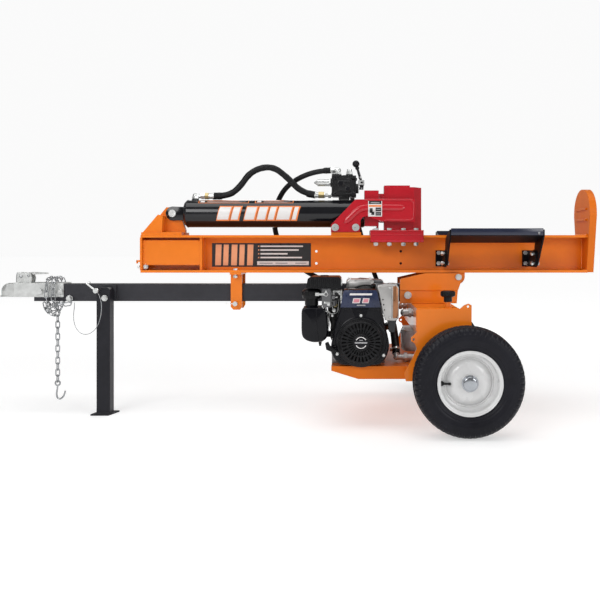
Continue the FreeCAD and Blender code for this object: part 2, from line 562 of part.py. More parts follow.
carb = fuse(box(122, 178, -246, -206, 462, 519.6), box(150, 225.6, -214, -196, 470, 500), cyl(13, (142, -266, 474), (0, 1, 0), 50),
            box(120, 154, -292, -284, 449, 519), box(122, 130, -286, -240, 470, 519), box(124, 140, -298, -280, 449, 462), cyl(7, (164, -296, 486), (0, 1, 0), 60),
            cyl(9, (166, -270, 452), (0, 0, 1), 20), box(150, 176, -276, -240, 462, 474))

THR_X, THR_Z = 136.0, 498.0
thr = fuse(cyl(8, (THR_X, -297, THR_Z), (0, 1, 0), 4), pxz([(THR_X - 4, THR_Z), (THR_X + 4, THR_Z), (THR_X + 3, THR_Z + 14), (THR_X - 3, THR_Z + 14)], -297, -294),
           pxz([(THR_X - 30, THR_Z - 3.5), (THR_X, THR_Z - 5), (THR_X, THR_Z + 5), (THR_X - 30, THR_Z + 3.5)], -297, -294), box(THR_X - 40, THR_X - 26, -300, -292.5, THR_Z - 6, THR_Z + 6))
thr = cut(thr, cyl(3.06, (THR_X, -310, THR_Z), (0, 1, 0), 30))
thr_pin = fuse(cyl(3, (THR_X, -299.5, THR_Z), (0, 1, 0), 9), cyl(5.5, (THR_X, -301, THR_Z), (0, 1, 0), 3.4))
carb = fuse(carb, thr_pin, box(THR_X - 10, THR_X + 10, -292, -284, THR_Z - 10, THR_Z + 10))
save("carburettor", carb)
save("throttle_lever", thr)

# fuel tank under the carburettor side, with a tall neck
FUEL_X, FUEL_Y = 80.0, -255.0
ftank = pxz([(44, 438), (52, 447), (124, 447), (134, 438), (136, 352), (126, 326), (112, 318), (62, 318), (48, 328)], -300, -190)
ftank = fuse(ftank, cyl(22, (FUEL_X, FUEL_Y, 440), (0, 0, 1), 36), box(116, 152, -229, -205, 330, 352))
ftank = cut(ftank, pxz([(48, 436), (54, 443), (122, 443), (130, 436), (132, 354), (123, 330), (110, 322), (64, 322), (52, 331)], -296, -194), cyl(18, (FUEL_X, FUEL_Y, 430), (0, 0, 1), 60))
save("fuel_tank", ftank)
fcap = fuse(cyl(25.5, (FUEL_X, FUEL_Y, 455), (0, 0, 1), 26), cone(34, 36, (FUEL_X, FUEL_Y, 481), (0, 0, 1), 12), cyl(36, (FUEL_X, FUEL_Y, 493), (0, 0, 1), 14), cone(36, 29, (FUEL_X, FUEL_Y, 507), (0, 0, 1), 8))
fcap = cut(fcap, cyl(22.08, (FUEL_X, FUEL_Y, 450), (0, 0, 1), 27.5))
save("fuel_cap", fcap)

muff = fuse(pxz([(364, 520), (372, 535), (398, 535), (405, 526), (405, 412), (398, 400), (374, 400), (364, 412)], -300, -180),
            pxz([(366, 404), (400, 404), (392, 356), (372, 356)], -286, -206), box(355, 368, -215, -185, 440, 480))
muff = cut(muff, pxz([(368, 518), (375, 530), (396, 530), (401, 524), (401, 414), (396, 404), (376, 404), (368, 414)], -296, -184), pxz([(371, 410), (396, 410), (388, 350), (377, 350)], -280, -212))
save("muffler", muff)

# ---------------------------------------------------------------------------
# pump and its mount
# ---------------------------------------------------------------------------
mount = fuse(cyl(78, (CRANK_X, -60, CRANK_Z), (0, 1, 0), 8), cyl(62, (CRANK_X, -53, CRANK_Z), (0, 1, 0), 105), cyl(70, (CRANK_X, 46, CRANK_Z), (0, 1, 0), 14))
mount = cut(mount, cyl(54, (CRANK_X, -70, CRANK_Z), (0, 1, 0), 116), cyl(30, (CRANK_X, 40, CRANK_Z), (0, 1, 0), 40), box(CRANK_X - 30, CRANK_X + 30, -30, 30, CRANK_Z + 20, CRANK_Z + 90))
save("pump_mount", mount)
PX0, PX1 = CRANK_X - 40.0, CRANK_X + 40.0
pump = fuse(box(PX0, PX1, 68, 132, CRANK_Z - 40, CRANK_Z + 62), cyl(29.8, (CRANK_X, 48, CRANK_Z), (0, 1, 0), 22), box(PX0 - 10, PX1 + 10, 60, 74, CRANK_Z - 30, CRANK_Z + 40),
            cyl(20, (PX1 - 1, 100, CRANK_Z), (1, 0, 0), 12), cyl(16, (CRANK_X - 12, 100, CRANK_Z + 61), (0, 0, 1), 10), box(PX0 + 4, PX1 - 4, 131, 148, CRANK_Z - 34, CRANK_Z + 56))
cavity = fuse(cyl(20.7, (CRANK_X, 77.5, CRANK_Z), (0, 1, 0), 41), cyl(20.7, (CRANK_X, 77.5, CRANK_Z + GEAR_DX), (0, 1, 0), 41), cyl(8.1, (CRANK_X, 20, CRANK_Z), (0, 1, 0), 121), cyl(7.08, (CRANK_X, 62, CRANK_Z + GEAR_DX), (0, 1, 0), 72))
pump = cut(pump, cavity, cyl(9, (CRANK_X + 18, 100, CRANK_Z), (1, 0, 0), 60), cyl(7, (CRANK_X - 12, 100, CRANK_Z + GEAR_DX + 12), (0, 0, 1), 40))
save("pump_body", pump)
idler = fuse(gear(CRANK_X, CRANK_Z + GEAR_DX, 78, 118, math.pi / 12 + math.pi / 12 * 0), cyl(7, (CRANK_X, 64, CRANK_Z + GEAR_DX), (0, 1, 0), 68))
save("pump_idler_gear", idler)

# ---------------------------------------------------------------------------
# filter, tank outlet and return fittings
# ---------------------------------------------------------------------------
fit = [fuse(cyl(46, (478, -60, 262), (0, 0, 1), 74), cyl(40, (478, -60, 256), (0, 0, 1), 8), cyl(46, (478, -60, 335), (0, 0, 1), 5), box(442, 516, -98, -22, 339, 352))]
outlet = fuse(cyl(13, (492, -200, 262), (0, 0, 1), 90), hexa(34, (492, -200, 338), (0, 0, 1), 14), cyl(13, (505, -200, 249), (-1, 0, 0), 75), hexa(34, (446, -200, 249), (-1, 0, 0), 12), cyl(10, (434, -200, 249), (-1, 0, 0), 30),
              Part.makeSphere(18, V(492, -200, 252)), Part.makeSphere(12, V(404, -200, 249)), cyl(11, (404, -200, 249), (0, 10, 13), 16.4))
fit.append(outlet)
fit.append(fuse(cyl(15, (438, -150, 416), (1, 0, 0), 33), hexa(36, (455, -150, 416), (1, 0, 0), 10), Part.makeSphere(15, V(438, -150, 416))))
fit.append(fuse(cyl(9, (446, 150, 416), (1, 0, 0), 25), hexa(28, (455, 150, 416), (1, 0, 0), 12), hexa(26, (438, 150, 416), (1, 0, 0), 12)))
save("filter_and_fittings", group(fit))

# suction hose, tank outlet to pump inlet
suct = [(404, -190, 262), (403, -160, 300), (400, -112, 337), (399, -56, 358), (398, 0, 358), (388, 48, 343), (360, 82, 329), (317, 100, 324)]
save("suction_hose", cord(suct, 15.5, "suction_hose"))

# ---------------------------------------------------------------------------
# beam
# ---------------------------------------------------------------------------
beam = fuse(box(BEAM_X0, BEAM_X1, -FLANGE_HALF, FLANGE_HALF, BEAM_Z1 - FLANGE_T, BEAM_Z1), box(BEAM_X0, BEAM_X1, -FLANGE_HALF, FLANGE_HALF, BEAM_Z0, BEAM_Z0 + FLANGE_T),
            box(BEAM_X0, BEAM_X1, -WEB_HALF, WEB_HALF, BEAM_Z0, BEAM_Z1))
beam = cut(beam, *[cyl(HOLE_R, (HOLE_X + i * HOLE_DX / 2, -20, HOLE_Z + k * HOLE_DZ / 2), (0, 1, 0), 40) for i in (-1, 1) for k in (-1, 1)])
lug = [(631, BEAM_Z0 + 1), (691, BEAM_Z0 + 1), (691, 556)] + arc_pts(PIVOT_X, PIVOT_Z, 30, -5, -175, 12) + [(631, 556)]
lugs = [pxz(lug, -61, -49), pxz(lug, 49, 61)]
# closed side covers at the hitch end, tabs, stripper pads
covers = [pxz([(-618, 602), (-386, 602), (-386, 700), (-618, 700)], s0, s1) for s0, s1 in ((-58, -54), (54, 58))]
strip = [box(-386, -376, s0, s1, 580, 712) for s0, s1 in ((-60, -4), (4, 60))]
end_plate = box(-626, -618, -70, 70, 580, 712)
hook_tab = fuse(box(-642, -624, -8, 8, 612, 620), box(-642, -636, -8, 8, 604, 620))
pads = [box(148, 270, s0, s1, BEAM_Z1, 734) for s0, s1 in ((-72, -50), (50, 72))]
beam = fuse(beam, *lugs, *covers, *strip, end_plate, hook_tab, *pads)
beam = cut(beam, cyl(PIVOT_R + 0.08, (PIVOT_X, -120, PIVOT_Z), (0, 1, 0), 240))

# cradle bracket bolt holes through the web, saddle bolt holes
WEB_BOLTS = [(591, 650), (591, 607), (949, 650), (949, 607)]
beam = cut(beam, *[cyl(5.3, (x, -20, z), (0, 1, 0), 40) for x, z in WEB_BOLTS])
beam = cut(beam, cyl(5.3, (-240, -63, 560), (0, 0, 1), 25), cyl(5.3, (-240, 63, 560), (0, 0, 1), 25))
save("splitting_beam", beam)

foot_out = [(-60, 571), (60, 571), (100, 800)] + arc_pts(0, 812, 100, 0, 180, 18)[0:19] + [(-100, 800)]
foot_plate = pyz(foot_out, BEAM_X1, BEAM_X1 + FOOT_T)
teeth = [box(BEAM_X1 - 6, BEAM_X1 + 1, -62, 62, 825, 833), box(BEAM_X1 - 6, BEAM_X1 + 1, -62, 62, 781, 789)]
save("foot_plate", fuse(foot_plate, *teeth))

anchor_mid = [(-622, BEAM_Z1), (-456, BEAM_Z1), (-456, 744), (-474, 800), (-474, 824), (-487, 838), (-534, 838), (-612, 742)]
anchor = fuse(pxz(anchor_mid, -12, 12), pxz([(-622, BEAM_Z1), (-458, BEAM_Z1), (-458, 734), (-622, 734)], -66, 66),
              pxz([(-618, 733), (-540, 733), (-536, 800), (-556, 806)], -60, -12), pxz([(-618, 733), (-540, 733), (-536, 800), (-556, 806)], 12, 60))
anchor = cut(anchor, cyl(12.7, (CLEVIS_X, -40, CYL_Z), (0, 1, 0), 80))
anchor = cut(anchor, cyl(31, (CLEVIS_X, -27, CYL_Z), (0, 1, 0), 14.6), cyl(31, (CLEVIS_X, 12.4, CYL_Z), (0, 1, 0), 14.6))
save("cylinder_anchor", anchor)

ears = []
for s0, s1 in ((-26, -12.6), (12.6, 26)):
    ears.append(fuse(cyl(29, (CLEVIS_X, s0, CYL_Z), (0, 1, 0), s1 - s0), box(CLEVIS_X, CYL_X0 + 2, s0, s1, CYL_Z - 27, CYL_Z + 27)))
barrel = fuse(cyl(CYL_R, (CYL_X0 + 12, 0, CYL_Z), (1, 0, 0), CYL_X1 - CYL_X0 - 12), cone(CYL_R - 8, CYL_R, (CYL_X0, 0, CYL_Z), (1, 0, 0), 12.2), cyl(14, (-416, 0, CYL_Z + CYL_R - 4), (0, 0, 1), 10), *ears)
barrel = cut(barrel, cyl(CYL_BORE_R, (CYL_X0 + 18, 0, CYL_Z), (1, 0, 0), 260 - CYL_X0 - 18), cyl(ROD_R + 0.06, (250, 0, CYL_Z), (1, 0, 0), 40), cyl(12.7, (CLEVIS_X, -40, CYL_Z), (0, 1, 0), 80),
             cyl(8, (-416, 0, CYL_Z), (0, 0, 1), 90))
save("cylinder_barrel", barrel)

# saddle that drops over the drawbar when the beam is level
sad = [(-262, 569.8), (-216, 569.8), (-216, 432), (-224, 418), (-252, 418), (-262, 430)]
saddle = fuse(pxz(sad, -48, -39), pxz(sad, 39, 48), box(-262, -216, -72, 72, 562, 569.8))
saddle = cut(saddle, cyl(6.1, (-240, -60, 444), (0, 1, 0), 120), cyl(5.3, (-240, -63, 550), (0, 0, 1), 30), cyl(5.3, (-240, 63, 550), (0, 0, 1), 30))
save("saddle_bracket", saddle)
spin = fuse(cyl(6, (-240, -70, 444), (0, 1, 0), 33.5), cyl(9.5, (-240, -76, 444), (0, 1, 0), 6.5))
spin = fuse(spin, cyl(1.6, (-240, -73, 444), (-1, 0, 0.04), 40))
save("saddle_lock_pin", spin)

# ---------------------------------------------------------------------------
# control valve
# ---------------------------------------------------------------------------
VX0, VX1, VY0, VY1, VZ0, VZ1 = 152.0, 250.0, -26.0, 30.0, 880.0, 968.0
valve = fuse(box(VX0, VX1, VY0, VY1, VZ0, VZ1), box(VX0 + 10, VX1 - 10, VY0 - 6, VY1 + 6, VZ0 + 8, VZ1 - 10), cyl(20, (VX1 - 2, 0, 916), (1, 0, 0), 10), cyl(19, (VX0 - 8, 0, 940), (1, 0, 0), 12),
             box(178, 222, -22, 22, CYL_Z + CYL_R - 0.0 + 0.6, VZ0 + 1), cyl(15, (175, 5, VZ1 - 1), (0, 0, 1), 8), cyl(15, (222, 5, VZ1 - 1), (0, 0, 1), 8))
valve = cut(valve, cyl(11.05, (VX0 - 20, 0, 916), (1, 0, 0), 180), cyl(9, (VX0 - 12, 0, 940), (1, 0, 0), 60))

# spool: slides in the body
spool = fuse(cyl(11, (VX0 + 8, 0, 916), (1, 0, 0), 93), cyl(8, (VX1 + 2, 0, 916), (1, 0, 0), 6))
spool = fuse(spool, box(VX1 + 6, VX1 + 27, -4.5, 4.5, 911, 921), cyl(3, (273, -9.4, 916), (0, 1, 0), 18.8))
save("valve_spool", spool)

LEV_X, LEV_Z = 273.0, 940.0
bonnet = fuse(box(258, 262, -20, 20, 897, 946), box(260, 284, -20, -15, 930, 950), box(260, 284, 15, 20, 930, 950), cyl(5, (LEV_X, -24, LEV_Z), (0, 1, 0), 9.2), cyl(5, (LEV_X, 14.8, LEV_Z), (0, 1, 0), 9.2))
bonnet = cut(bonnet, cyl(21, (250, 0, 916), (1, 0, 0), 9.0), cyl(12, (250, 0, 916), (1, 0, 0), 20), box(250, 266, -13, 13, 904, 938), cyl(4.06, (LEV_X, -30, LEV_Z), (0, 1, 0), 60))
lever = fuse(cyl(9, (LEV_X, -12, LEV_Z), (0, 1, 0), 24), cyl(5.5, (LEV_X, 0, LEV_Z), (-0.30, 0, 1.0), 72), Part.makeSphere(14.5, V(LEV_X - 0.30 * 82 / 1.044, 0, LEV_Z + 82 / 1.044)))
fork = fuse(*[pxz([(LEV_X - 9, LEV_Z), (LEV_X + 9, LEV_Z), (LEV_X + 7, 911.5), (LEV_X - 7, 911.5)], *sorted((s0, s1))) for s0, s1 in ((-9, -5.3), (5.3, 9))])
fork = cut(fork, box(LEV_X - 3.5, LEV_X + 3.5, -12, 12, 905, 920.5))
lever = fuse(lever, cyl(4, (LEV_X, -23, LEV_Z), (0, 1, 0), 46), fork)
save("control_lever", lever)

fits = [bonnet]
# top-left pressure elbow, top hex plug, relief cartridge, work port line
fits.append(fuse(hexa(27, (175, 5, VZ1 + 7), (0, 0, 1), 8), cyl(11, (175, 5, VZ1 + 14), (0, 0, 1), 10), Part.makeSphere(12.5, V(175, 5, VZ1 + 24)), cyl(11, (175, 5, VZ1 + 24), (-1, 0, 0), 22), hexa(26, (160, 5, VZ1 + 24), (-1, 0, 0), 14)))
fits.append(fuse(hexa(26, (222, 5, VZ1 + 7), (0, 0, 1), 12), cyl(10, (222, 5, VZ1 + 18), (0, 0, 1), 10)))
fits.append(fuse(cyl(8.5, (VX0 - 28, 0, 940), (1, 0, 0), 40), cyl(15, (VX0 - 62, 0, 940), (1, 0, 0), 50), hexa(26, (VX0 - 16, 0, 940), (1, 0, 0), 8), cone(3, 12, (VX0 - 76, 0, 940), (1, 0, 0), 15)))
fits.append(fuse(cyl(8, (118, 0, 889.6), (1, 0, 0), 33.5), hexa(26, (134, 0, 889.6), (1, 0, 0), 12), hexa(24, (100, 0, 889.6), (1, 0, 0), 22), cyl(11.5, (80, 0, 889.6), (1, 0, 0), 24)))
# cylinder base port elbow
fits.append(fuse(hexa(26, (-416, 0, CYL_Z + CYL_R + 6.2), (0, 0, 1), 8), cyl(10, (-416, 0, CYL_Z + CYL_R + 10), (0, 0, 1), 8), Part.makeSphere(12, V(-416, 0, 885.5)), cyl(9, (-416, 0, 885), (1, 0, 0), 40), hexa(24, (-392, 0, 885), (1, 0, 0), 28),
                 cyl(11.5, (-366, 0, 885), (1, 0, 0), 26)))
# rear return port
fits.append(fuse(cyl(9, (228, 29, 905), (0, 1, 0), 28), hexa(26, (228, 36.2, 905), (0, 1, 0), 10), hexa(24, (228, 46, 905), (0, 1, 0), 12)))
valve_holes = [cyl(9.2, (228, 25, 905), (0, 1, 0), 30), cyl(8.2, (140, 0, 889.6), (1, 0, 0), 30)]
valve = cut(valve, *valve_holes)
save("valve_body", valve)
save("valve_fittings", group(fits))

# hoses
hose_a = [(-340, 0, 885), (-284, 0, 885), (-236, 1, 917), (-186, 2, 990), (-100, 3, 1012), (-34, 3, 962), (24, 2, 899), (80, 0, 889.6)]
save("cylinder_hose", cord(hose_a, 13, "cylinder_hose"))

hb = [(146, 5, 992), (98, 8, 991), (22, 26, 970), (-48, 60, 928), (-90, 96, 862), (-104, 112, 790), (-94, 114, 718), (-58, 110, 650), (0, 108, 592), (60, 108, 554), (130, 108, 520), (192, 106, 476), (234, 102, 432), (254, 100, 395)]
wire_b, len_b = cord_path(hb, "pressure hose whole")
whole_b = cord(hb, 11, "pressure_hose")
save("pressure_hose_upper", whole_b.common(box(-400, 95, -50, 300, 300, 1200)).fuse(whole_b.common(box(94.9, 400, -50, 300, 700, 1200))).removeSplitter())
save("pressure_hose_lower", whole_b.common(box(95, 400, -50, 300, 300, 700)))

hc = [(228, 58, 905), (228, 98, 905), (233, 136, 888), (242, 158, 850), (256, 156, 786), (276, 138, 712), (300, 122, 636), (328, 114, 562), (352, 118, 500), (368, 128, 456), (396, 142, 424), (438, 150, 416)]
whole_c = cord(hc, 10, "return_hose")
save("return_hose_upper", whole_c.common(box(100, 600, -50, 300, 540, 1200)))
save("return_hose_lower", whole_c.common(box(100, 600, -50, 300, 300, 540)))

# ---------------------------------------------------------------------------
# ram, wedge and slide
# ---------------------------------------------------------------------------
rod = fuse(cyl(ROD_R, (CYL_X0 + 70, 0, CYL_Z), (1, 0, 0), PUSH_X - CYL_X0 - 70), cyl(CYL_BORE_R - 0.08, (CYL_X0 + 26, 0, CYL_Z), (1, 0, 0), 46))
save("piston_rod", rod)

wedge_plan = [(365, -30), (378, -38), (487, -38), (520, -1.2), (520, 1.2), (487, 38), (378, 38), (365, 30)]
wedge = fuse(pxy(wedge_plan, 740, 926), box(334, 372, -26, 26, 742, 893), box(PUSH_X, 342, -44, 44, 759, 905), pxy([(307, -92), (521, -92), (521, 92), (307, 92)], 722.6, 742))
wedge = cut(wedge, box(470, 530, -50, 50, 919, 930), box(300, 333, -60, 60, 741.9, 759))
wedge = cut(wedge, box(342.01, 364.9, -60, 60, 742.01, 800))
SLIDE_BOLTS = [(x, y) for x in (329, 383, 440, 491) for y in (-82, 82)]
wedge = cut(wedge, *[cyl(6.3, (x, y, 715), (0, 0, 1), 40) for x, y in SLIDE_BOLTS])
save("wedge", wedge)
slides = []
for s in (-1, 1):
    ya, yb = sorted((s * 30, s * 92))
    yc, yd = sorted((s * 72.8, s * 92))
    q = fuse(box(307, 521, ya, yb, 692.5, 711.4), box(307, 521, yc, yd, 711.4, 722.6))
    q = cut(q, *[cyl(6.3, (x, s * 82, 680), (0, 0, 1), 60) for x in (329, 383, 440, 491)])
    slides.append(q)
save("wedge_slide", group(slides))
save("slide_bolts", group([bolt((x, y, 742.2), (0, 0, -1), 6, 64, 18, 7.5, nut=11) for x, y in SLIDE_BOLTS]))

# stripper side plates with pressed ribs
strip_pts = [(148, 734.2), (265, 734.2), (268, 783), (276, 794), (292, 799), (350, 777), (488, 775), (488, 868), (246, 866), (148, 764)]
stripper = []
for s in (-1, 1):
    ya, yb = sorted((s * 70, s * 80))
    q = pxz(strip_pts, ya, yb)
    foot_f = box(150, 262, *sorted((s * 52, s * 70.5)), 734.2, 744)
    q = fuse(q, foot_f)
    q = cut(q, *[cyl(8.3, (x, -100, 753), (0, 1, 0), 200) for x in (165, 248)])
    stripper.append(q)
save("stripper_plates", group(stripper))

# ---------------------------------------------------------------------------
# log cradles: bent trays, arms and web brackets
# ---------------------------------------------------------------------------
cr = []
for s in (-1, 1):
    tray = pyz([(s * 100, 691), (s * 228, 718), (s * 228, 745), (s * 224, 745), (s * 224, 722), (s * 100, 695.2)], 612.2, 964.8)
    cr.append(tray)
    for xa in (607.0, 965.0):
        arm = pyz([(s * 62, 660), (s * 62, 600), (s * 134, 600), (s * 228, 716), (s * 228, 741), (s * 221, 741), (s * 150, 724), (s * 104, 708), (s * 92, 664)], xa, xa + 5.0)
        holes = [cyl(5.3, (xa - 10, s * 116, z), (1, 0, 0), 30) for z in (648, 610)]
        cr.append(cut(arm, *holes))
    for xa, xb in ((579.0, 607.0), (937.0, 965.0)):
        leg1 = box(xa, xb, *sorted((s * 4.2, s * 10)), 594, 660)
        leg2 = pyz([(s * 4.2, 594), (s * 134, 594), (s * 134, 648), (s * 118, 660), (s * 4.2, 660)], xb - 6, xb)
        b = fuse(leg1, leg2)
        b = cut(b, *[cyl(5.3, (xa + 12, -20, z), (0, 1, 0), 40) for z in (650, 607)], *[cyl(5.3, (xb - 20, s * 116, z), (1, 0, 0), 40) for z in (648, 610)])
        cr.append(b)
save("log_cradles", group(cr))

# beam fasteners: clevis pin, stripper bolts, cradle bolts, saddle bolts
bb = [fuse(cyl(12.5, (CLEVIS_X, -34, CYL_Z), (0, 1, 0), 68), cyl(15, (CLEVIS_X, -37, CYL_Z), (0, 1, 0), 8), cyl(15, (CLEVIS_X, 29, CYL_Z), (0, 1, 0), 5))]
for x in (165, 248):
    for s in (-1, 1):
        bb.append(bolt((x, s * 81.7, 753), (0, -s, 0), 8, 30, 24, 10, washer=1.4))
for x, z in WEB_BOLTS:
    bb.append(bolt((x, -10.2, z), (0, 1, 0), 5, 32, 16, 6.5, nut=7))
for xb in (612.2, 970.2):
    for s in (-1, 1):
        for z in (648, 610):
            bb.append(bolt((xb, s * 116, z), (-1, 0, 0), 5, 26, 16, 6.5, nut=7))
for s in (-1, 1):
    bb.append(bolt((-240, s * 63, 580.2), (0, 0, -1), 5, 32, 16, 6.5, nut=8))
save("beam_bolts", group(bb))

names = sorted(f for f in os.listdir("parts") if f.endswith(".step"))
print(len(names), "files")
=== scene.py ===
import math

import bmesh
import bpy
import numpy as np
from mathutils import Matrix, Vector


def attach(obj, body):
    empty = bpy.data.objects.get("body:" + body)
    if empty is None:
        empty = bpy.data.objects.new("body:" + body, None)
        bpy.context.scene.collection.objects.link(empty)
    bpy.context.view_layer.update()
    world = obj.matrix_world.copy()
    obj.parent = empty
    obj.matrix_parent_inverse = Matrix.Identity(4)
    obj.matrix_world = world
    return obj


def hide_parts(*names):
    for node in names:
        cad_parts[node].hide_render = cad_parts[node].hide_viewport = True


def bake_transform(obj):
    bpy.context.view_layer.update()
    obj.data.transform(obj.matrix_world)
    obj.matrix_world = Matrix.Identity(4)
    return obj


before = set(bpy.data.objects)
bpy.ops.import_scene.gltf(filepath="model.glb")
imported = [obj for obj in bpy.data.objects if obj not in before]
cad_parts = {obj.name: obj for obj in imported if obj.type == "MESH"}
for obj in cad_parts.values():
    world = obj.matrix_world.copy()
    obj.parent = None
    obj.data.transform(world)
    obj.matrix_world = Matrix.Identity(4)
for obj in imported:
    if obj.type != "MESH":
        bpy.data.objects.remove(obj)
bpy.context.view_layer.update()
scene = bpy.context.scene
M = 0.001

# ---------------------------------------------------------------------------
# camera
# ---------------------------------------------------------------------------
cam = bpy.data.cameras.new("camera")
cam.sensor_width = 36.0
cam.lens = 41.94
cam.shift_x = -0.0867
cam.shift_y = -0.09
cam.clip_end = 200.0
cam_ob = bpy.data.objects.new("camera", cam)
cam_ob.location = (0.233, -2.9, 0.678)
cam_ob.rotation_euler = (math.radians(90.0), 0.0, 0.0)
scene.collection.objects.link(cam_ob)
scene.camera = cam_ob


# ---------------------------------------------------------------------------
# materials, all procedural
# ---------------------------------------------------------------------------
def material(name, color, rough=0.4, metal=0.0, var=0.10, scale=35.0, bump=0.15, bump_scale=900.0, depth=0.0002, worn_edge_and_highlight=None,
             worn_edge_and_highlight_amt=0.0, coat=0.0, edge=0.0012, rough_var=0.10, spec=0.5, dust=0.0, stretch=(1.0, 1.0, 1.0), sheen=0.0):
    m = bpy.data.materials.new(name)
    m.use_nodes = True
    nt = m.node_tree
    nt.nodes.clear()
    N, L = nt.nodes.new, nt.links.new
    out = N("ShaderNodeOutputMaterial")
    b = N("ShaderNodeBsdfPrincipled")
    L(b.outputs["BSDF"], out.inputs["Surface"])
    tc = N("ShaderNodeTexCoord")
    mp = N("ShaderNodeMapping")
    mp.inputs["Scale"].default_value = stretch
    L(tc.outputs["Object"], mp.inputs["Vector"])
    n1 = N("ShaderNodeTexNoise")
    n1.inputs["Scale"].default_value = scale
    n1.inputs["Detail"].default_value = 7.0
    n1.inputs["Roughness"].default_value = 0.62
    L(mp.outputs["Vector"], n1.inputs["Vector"])
    n2 = N("ShaderNodeTexNoise")
    n2.inputs["Scale"].default_value = 6.0
    n2.inputs["Detail"].default_value = 3.0
    L(tc.outputs["Object"], n2.inputs["Vector"])
    add = N("ShaderNodeMath")
    add.operation = "ADD"
    L(n1.outputs["Fac"], add.inputs[0])
    L(n2.outputs["Fac"], add.inputs[1])
    rng = N("ShaderNodeMapRange")
    rng.inputs["From Min"].default_value = 0.70
    rng.inputs["From Max"].default_value = 1.30
    L(add.outputs[0], rng.inputs["Value"])
    mix = N("ShaderNodeMix")
    mix.data_type = "RGBA"
    c = np.array(color[:3], float)
    mix.inputs["A"].default_value = (*np.clip(c * (1 - var), 0, 1), 1)
    mix.inputs["B"].default_value = (*np.clip(c * (1 + var) + 0.012 * var, 0, 1), 1)
    L(rng.outputs["Result"], mix.inputs["Factor"])
    last = mix.outputs["Result"]
    rr = N("ShaderNodeMapRange")
    rr.inputs["To Min"].default_value = max(0.02, rough - rough_var)
    rr.inputs["To Max"].default_value = min(1.0, rough + rough_var)
    L(n1.outputs["Fac"], rr.inputs["Value"])
    rough_out = rr.outputs["Result"]
    bev = N("ShaderNodeBevel")
    bev.samples = 3
    bev.inputs["Radius"].default_value = edge
    geo = N("ShaderNodeNewGeometry")
    if dust > 0:
        sep = N("ShaderNodeSeparateXYZ")
        L(geo.outputs["Normal"], sep.inputs[0])
        up = N("ShaderNodeMapRange")
        up.inputs["From Min"].default_value = 0.5
        up.inputs["From Max"].default_value = 1.0
        up.inputs["To Max"].default_value = dust
        L(sep.outputs["Z"], up.inputs["Value"])
        mul = N("ShaderNodeMath")
        mul.operation = "MULTIPLY"
        L(up.outputs["Result"], mul.inputs[0])
        L(n1.outputs["Fac"], mul.inputs[1])
        md = N("ShaderNodeMix")
        md.data_type = "RGBA"
        md.inputs["B"].default_value = (0.42, 0.39, 0.35, 1)
        L(last, md.inputs["A"])
        L(mul.outputs[0], md.inputs["Factor"])
        last = md.outputs["Result"]
    # edge colour mix along bevelled edges: worn chips on the paints, and a painted highlight on the rib and tread edges
    # of the black plastic and tyre
    if worn_edge_and_highlight is not None and worn_edge_and_highlight_amt > 0:
        dot = N("ShaderNodeVectorMath")
        dot.operation = "DOT_PRODUCT"
        L(bev.outputs["Normal"], dot.inputs[0])
        L(geo.outputs["Normal"], dot.inputs[1])
        e = N("ShaderNodeMapRange")
        e.inputs["From Min"].default_value = 0.985
        e.inputs["From Max"].default_value = 0.80
        L(dot.outputs["Value"], e.inputs["Value"])
        n3 = N("ShaderNodeTexNoise")
        n3.inputs["Scale"].default_value = 130.0
        n3.inputs["Detail"].default_value = 5.0
        L(tc.outputs["Object"], n3.inputs["Vector"])
        r3 = N("ShaderNodeMapRange")
        r3.inputs["From Min"].default_value = 0.50
        r3.inputs["From Max"].default_value = 0.66
        r3.inputs["To Max"].default_value = worn_edge_and_highlight_amt
        L(n3.outputs["Fac"], r3.inputs["Value"])
        mu = N("ShaderNodeMath")
        mu.operation = "MULTIPLY"
        L(e.outputs["Result"], mu.inputs[0])
        L(r3.outputs["Result"], mu.inputs[1])
        mw = N("ShaderNodeMix")
        mw.data_type = "RGBA"
        mw.inputs["B"].default_value = (*worn_edge_and_highlight, 1)
        L(last, mw.inputs["A"])
        L(mu.outputs[0], mw.inputs["Factor"])
        last = mw.outputs["Result"]
    L(last, b.inputs["Base Color"])
    L(rough_out, b.inputs["Roughness"])
    b.inputs["Metallic"].default_value = metal
    b.inputs["Specular IOR Level"].default_value = spec
    if coat > 0:
        b.inputs["Coat Weight"].default_value = coat
        b.inputs["Coat Roughness"].default_value = 0.10
    if sheen > 0:
        b.inputs["Sheen Weight"].default_value = sheen
    nb = N("ShaderNodeTexNoise")
    nb.inputs["Scale"].default_value = bump_scale
    nb.inputs["Detail"].default_value = 4.0
    L(mp.outputs["Vector"], nb.inputs["Vector"])
    bp = N("ShaderNodeBump")
    bp.inputs["Strength"].default_value = bump
    bp.inputs["Distance"].default_value = depth
    L(nb.outputs["Fac"], bp.inputs["Height"])
    L(bev.outputs["Normal"], bp.inputs["Normal"])
    L(bp.outputs["Normal"], b.inputs["Normal"])
    return m


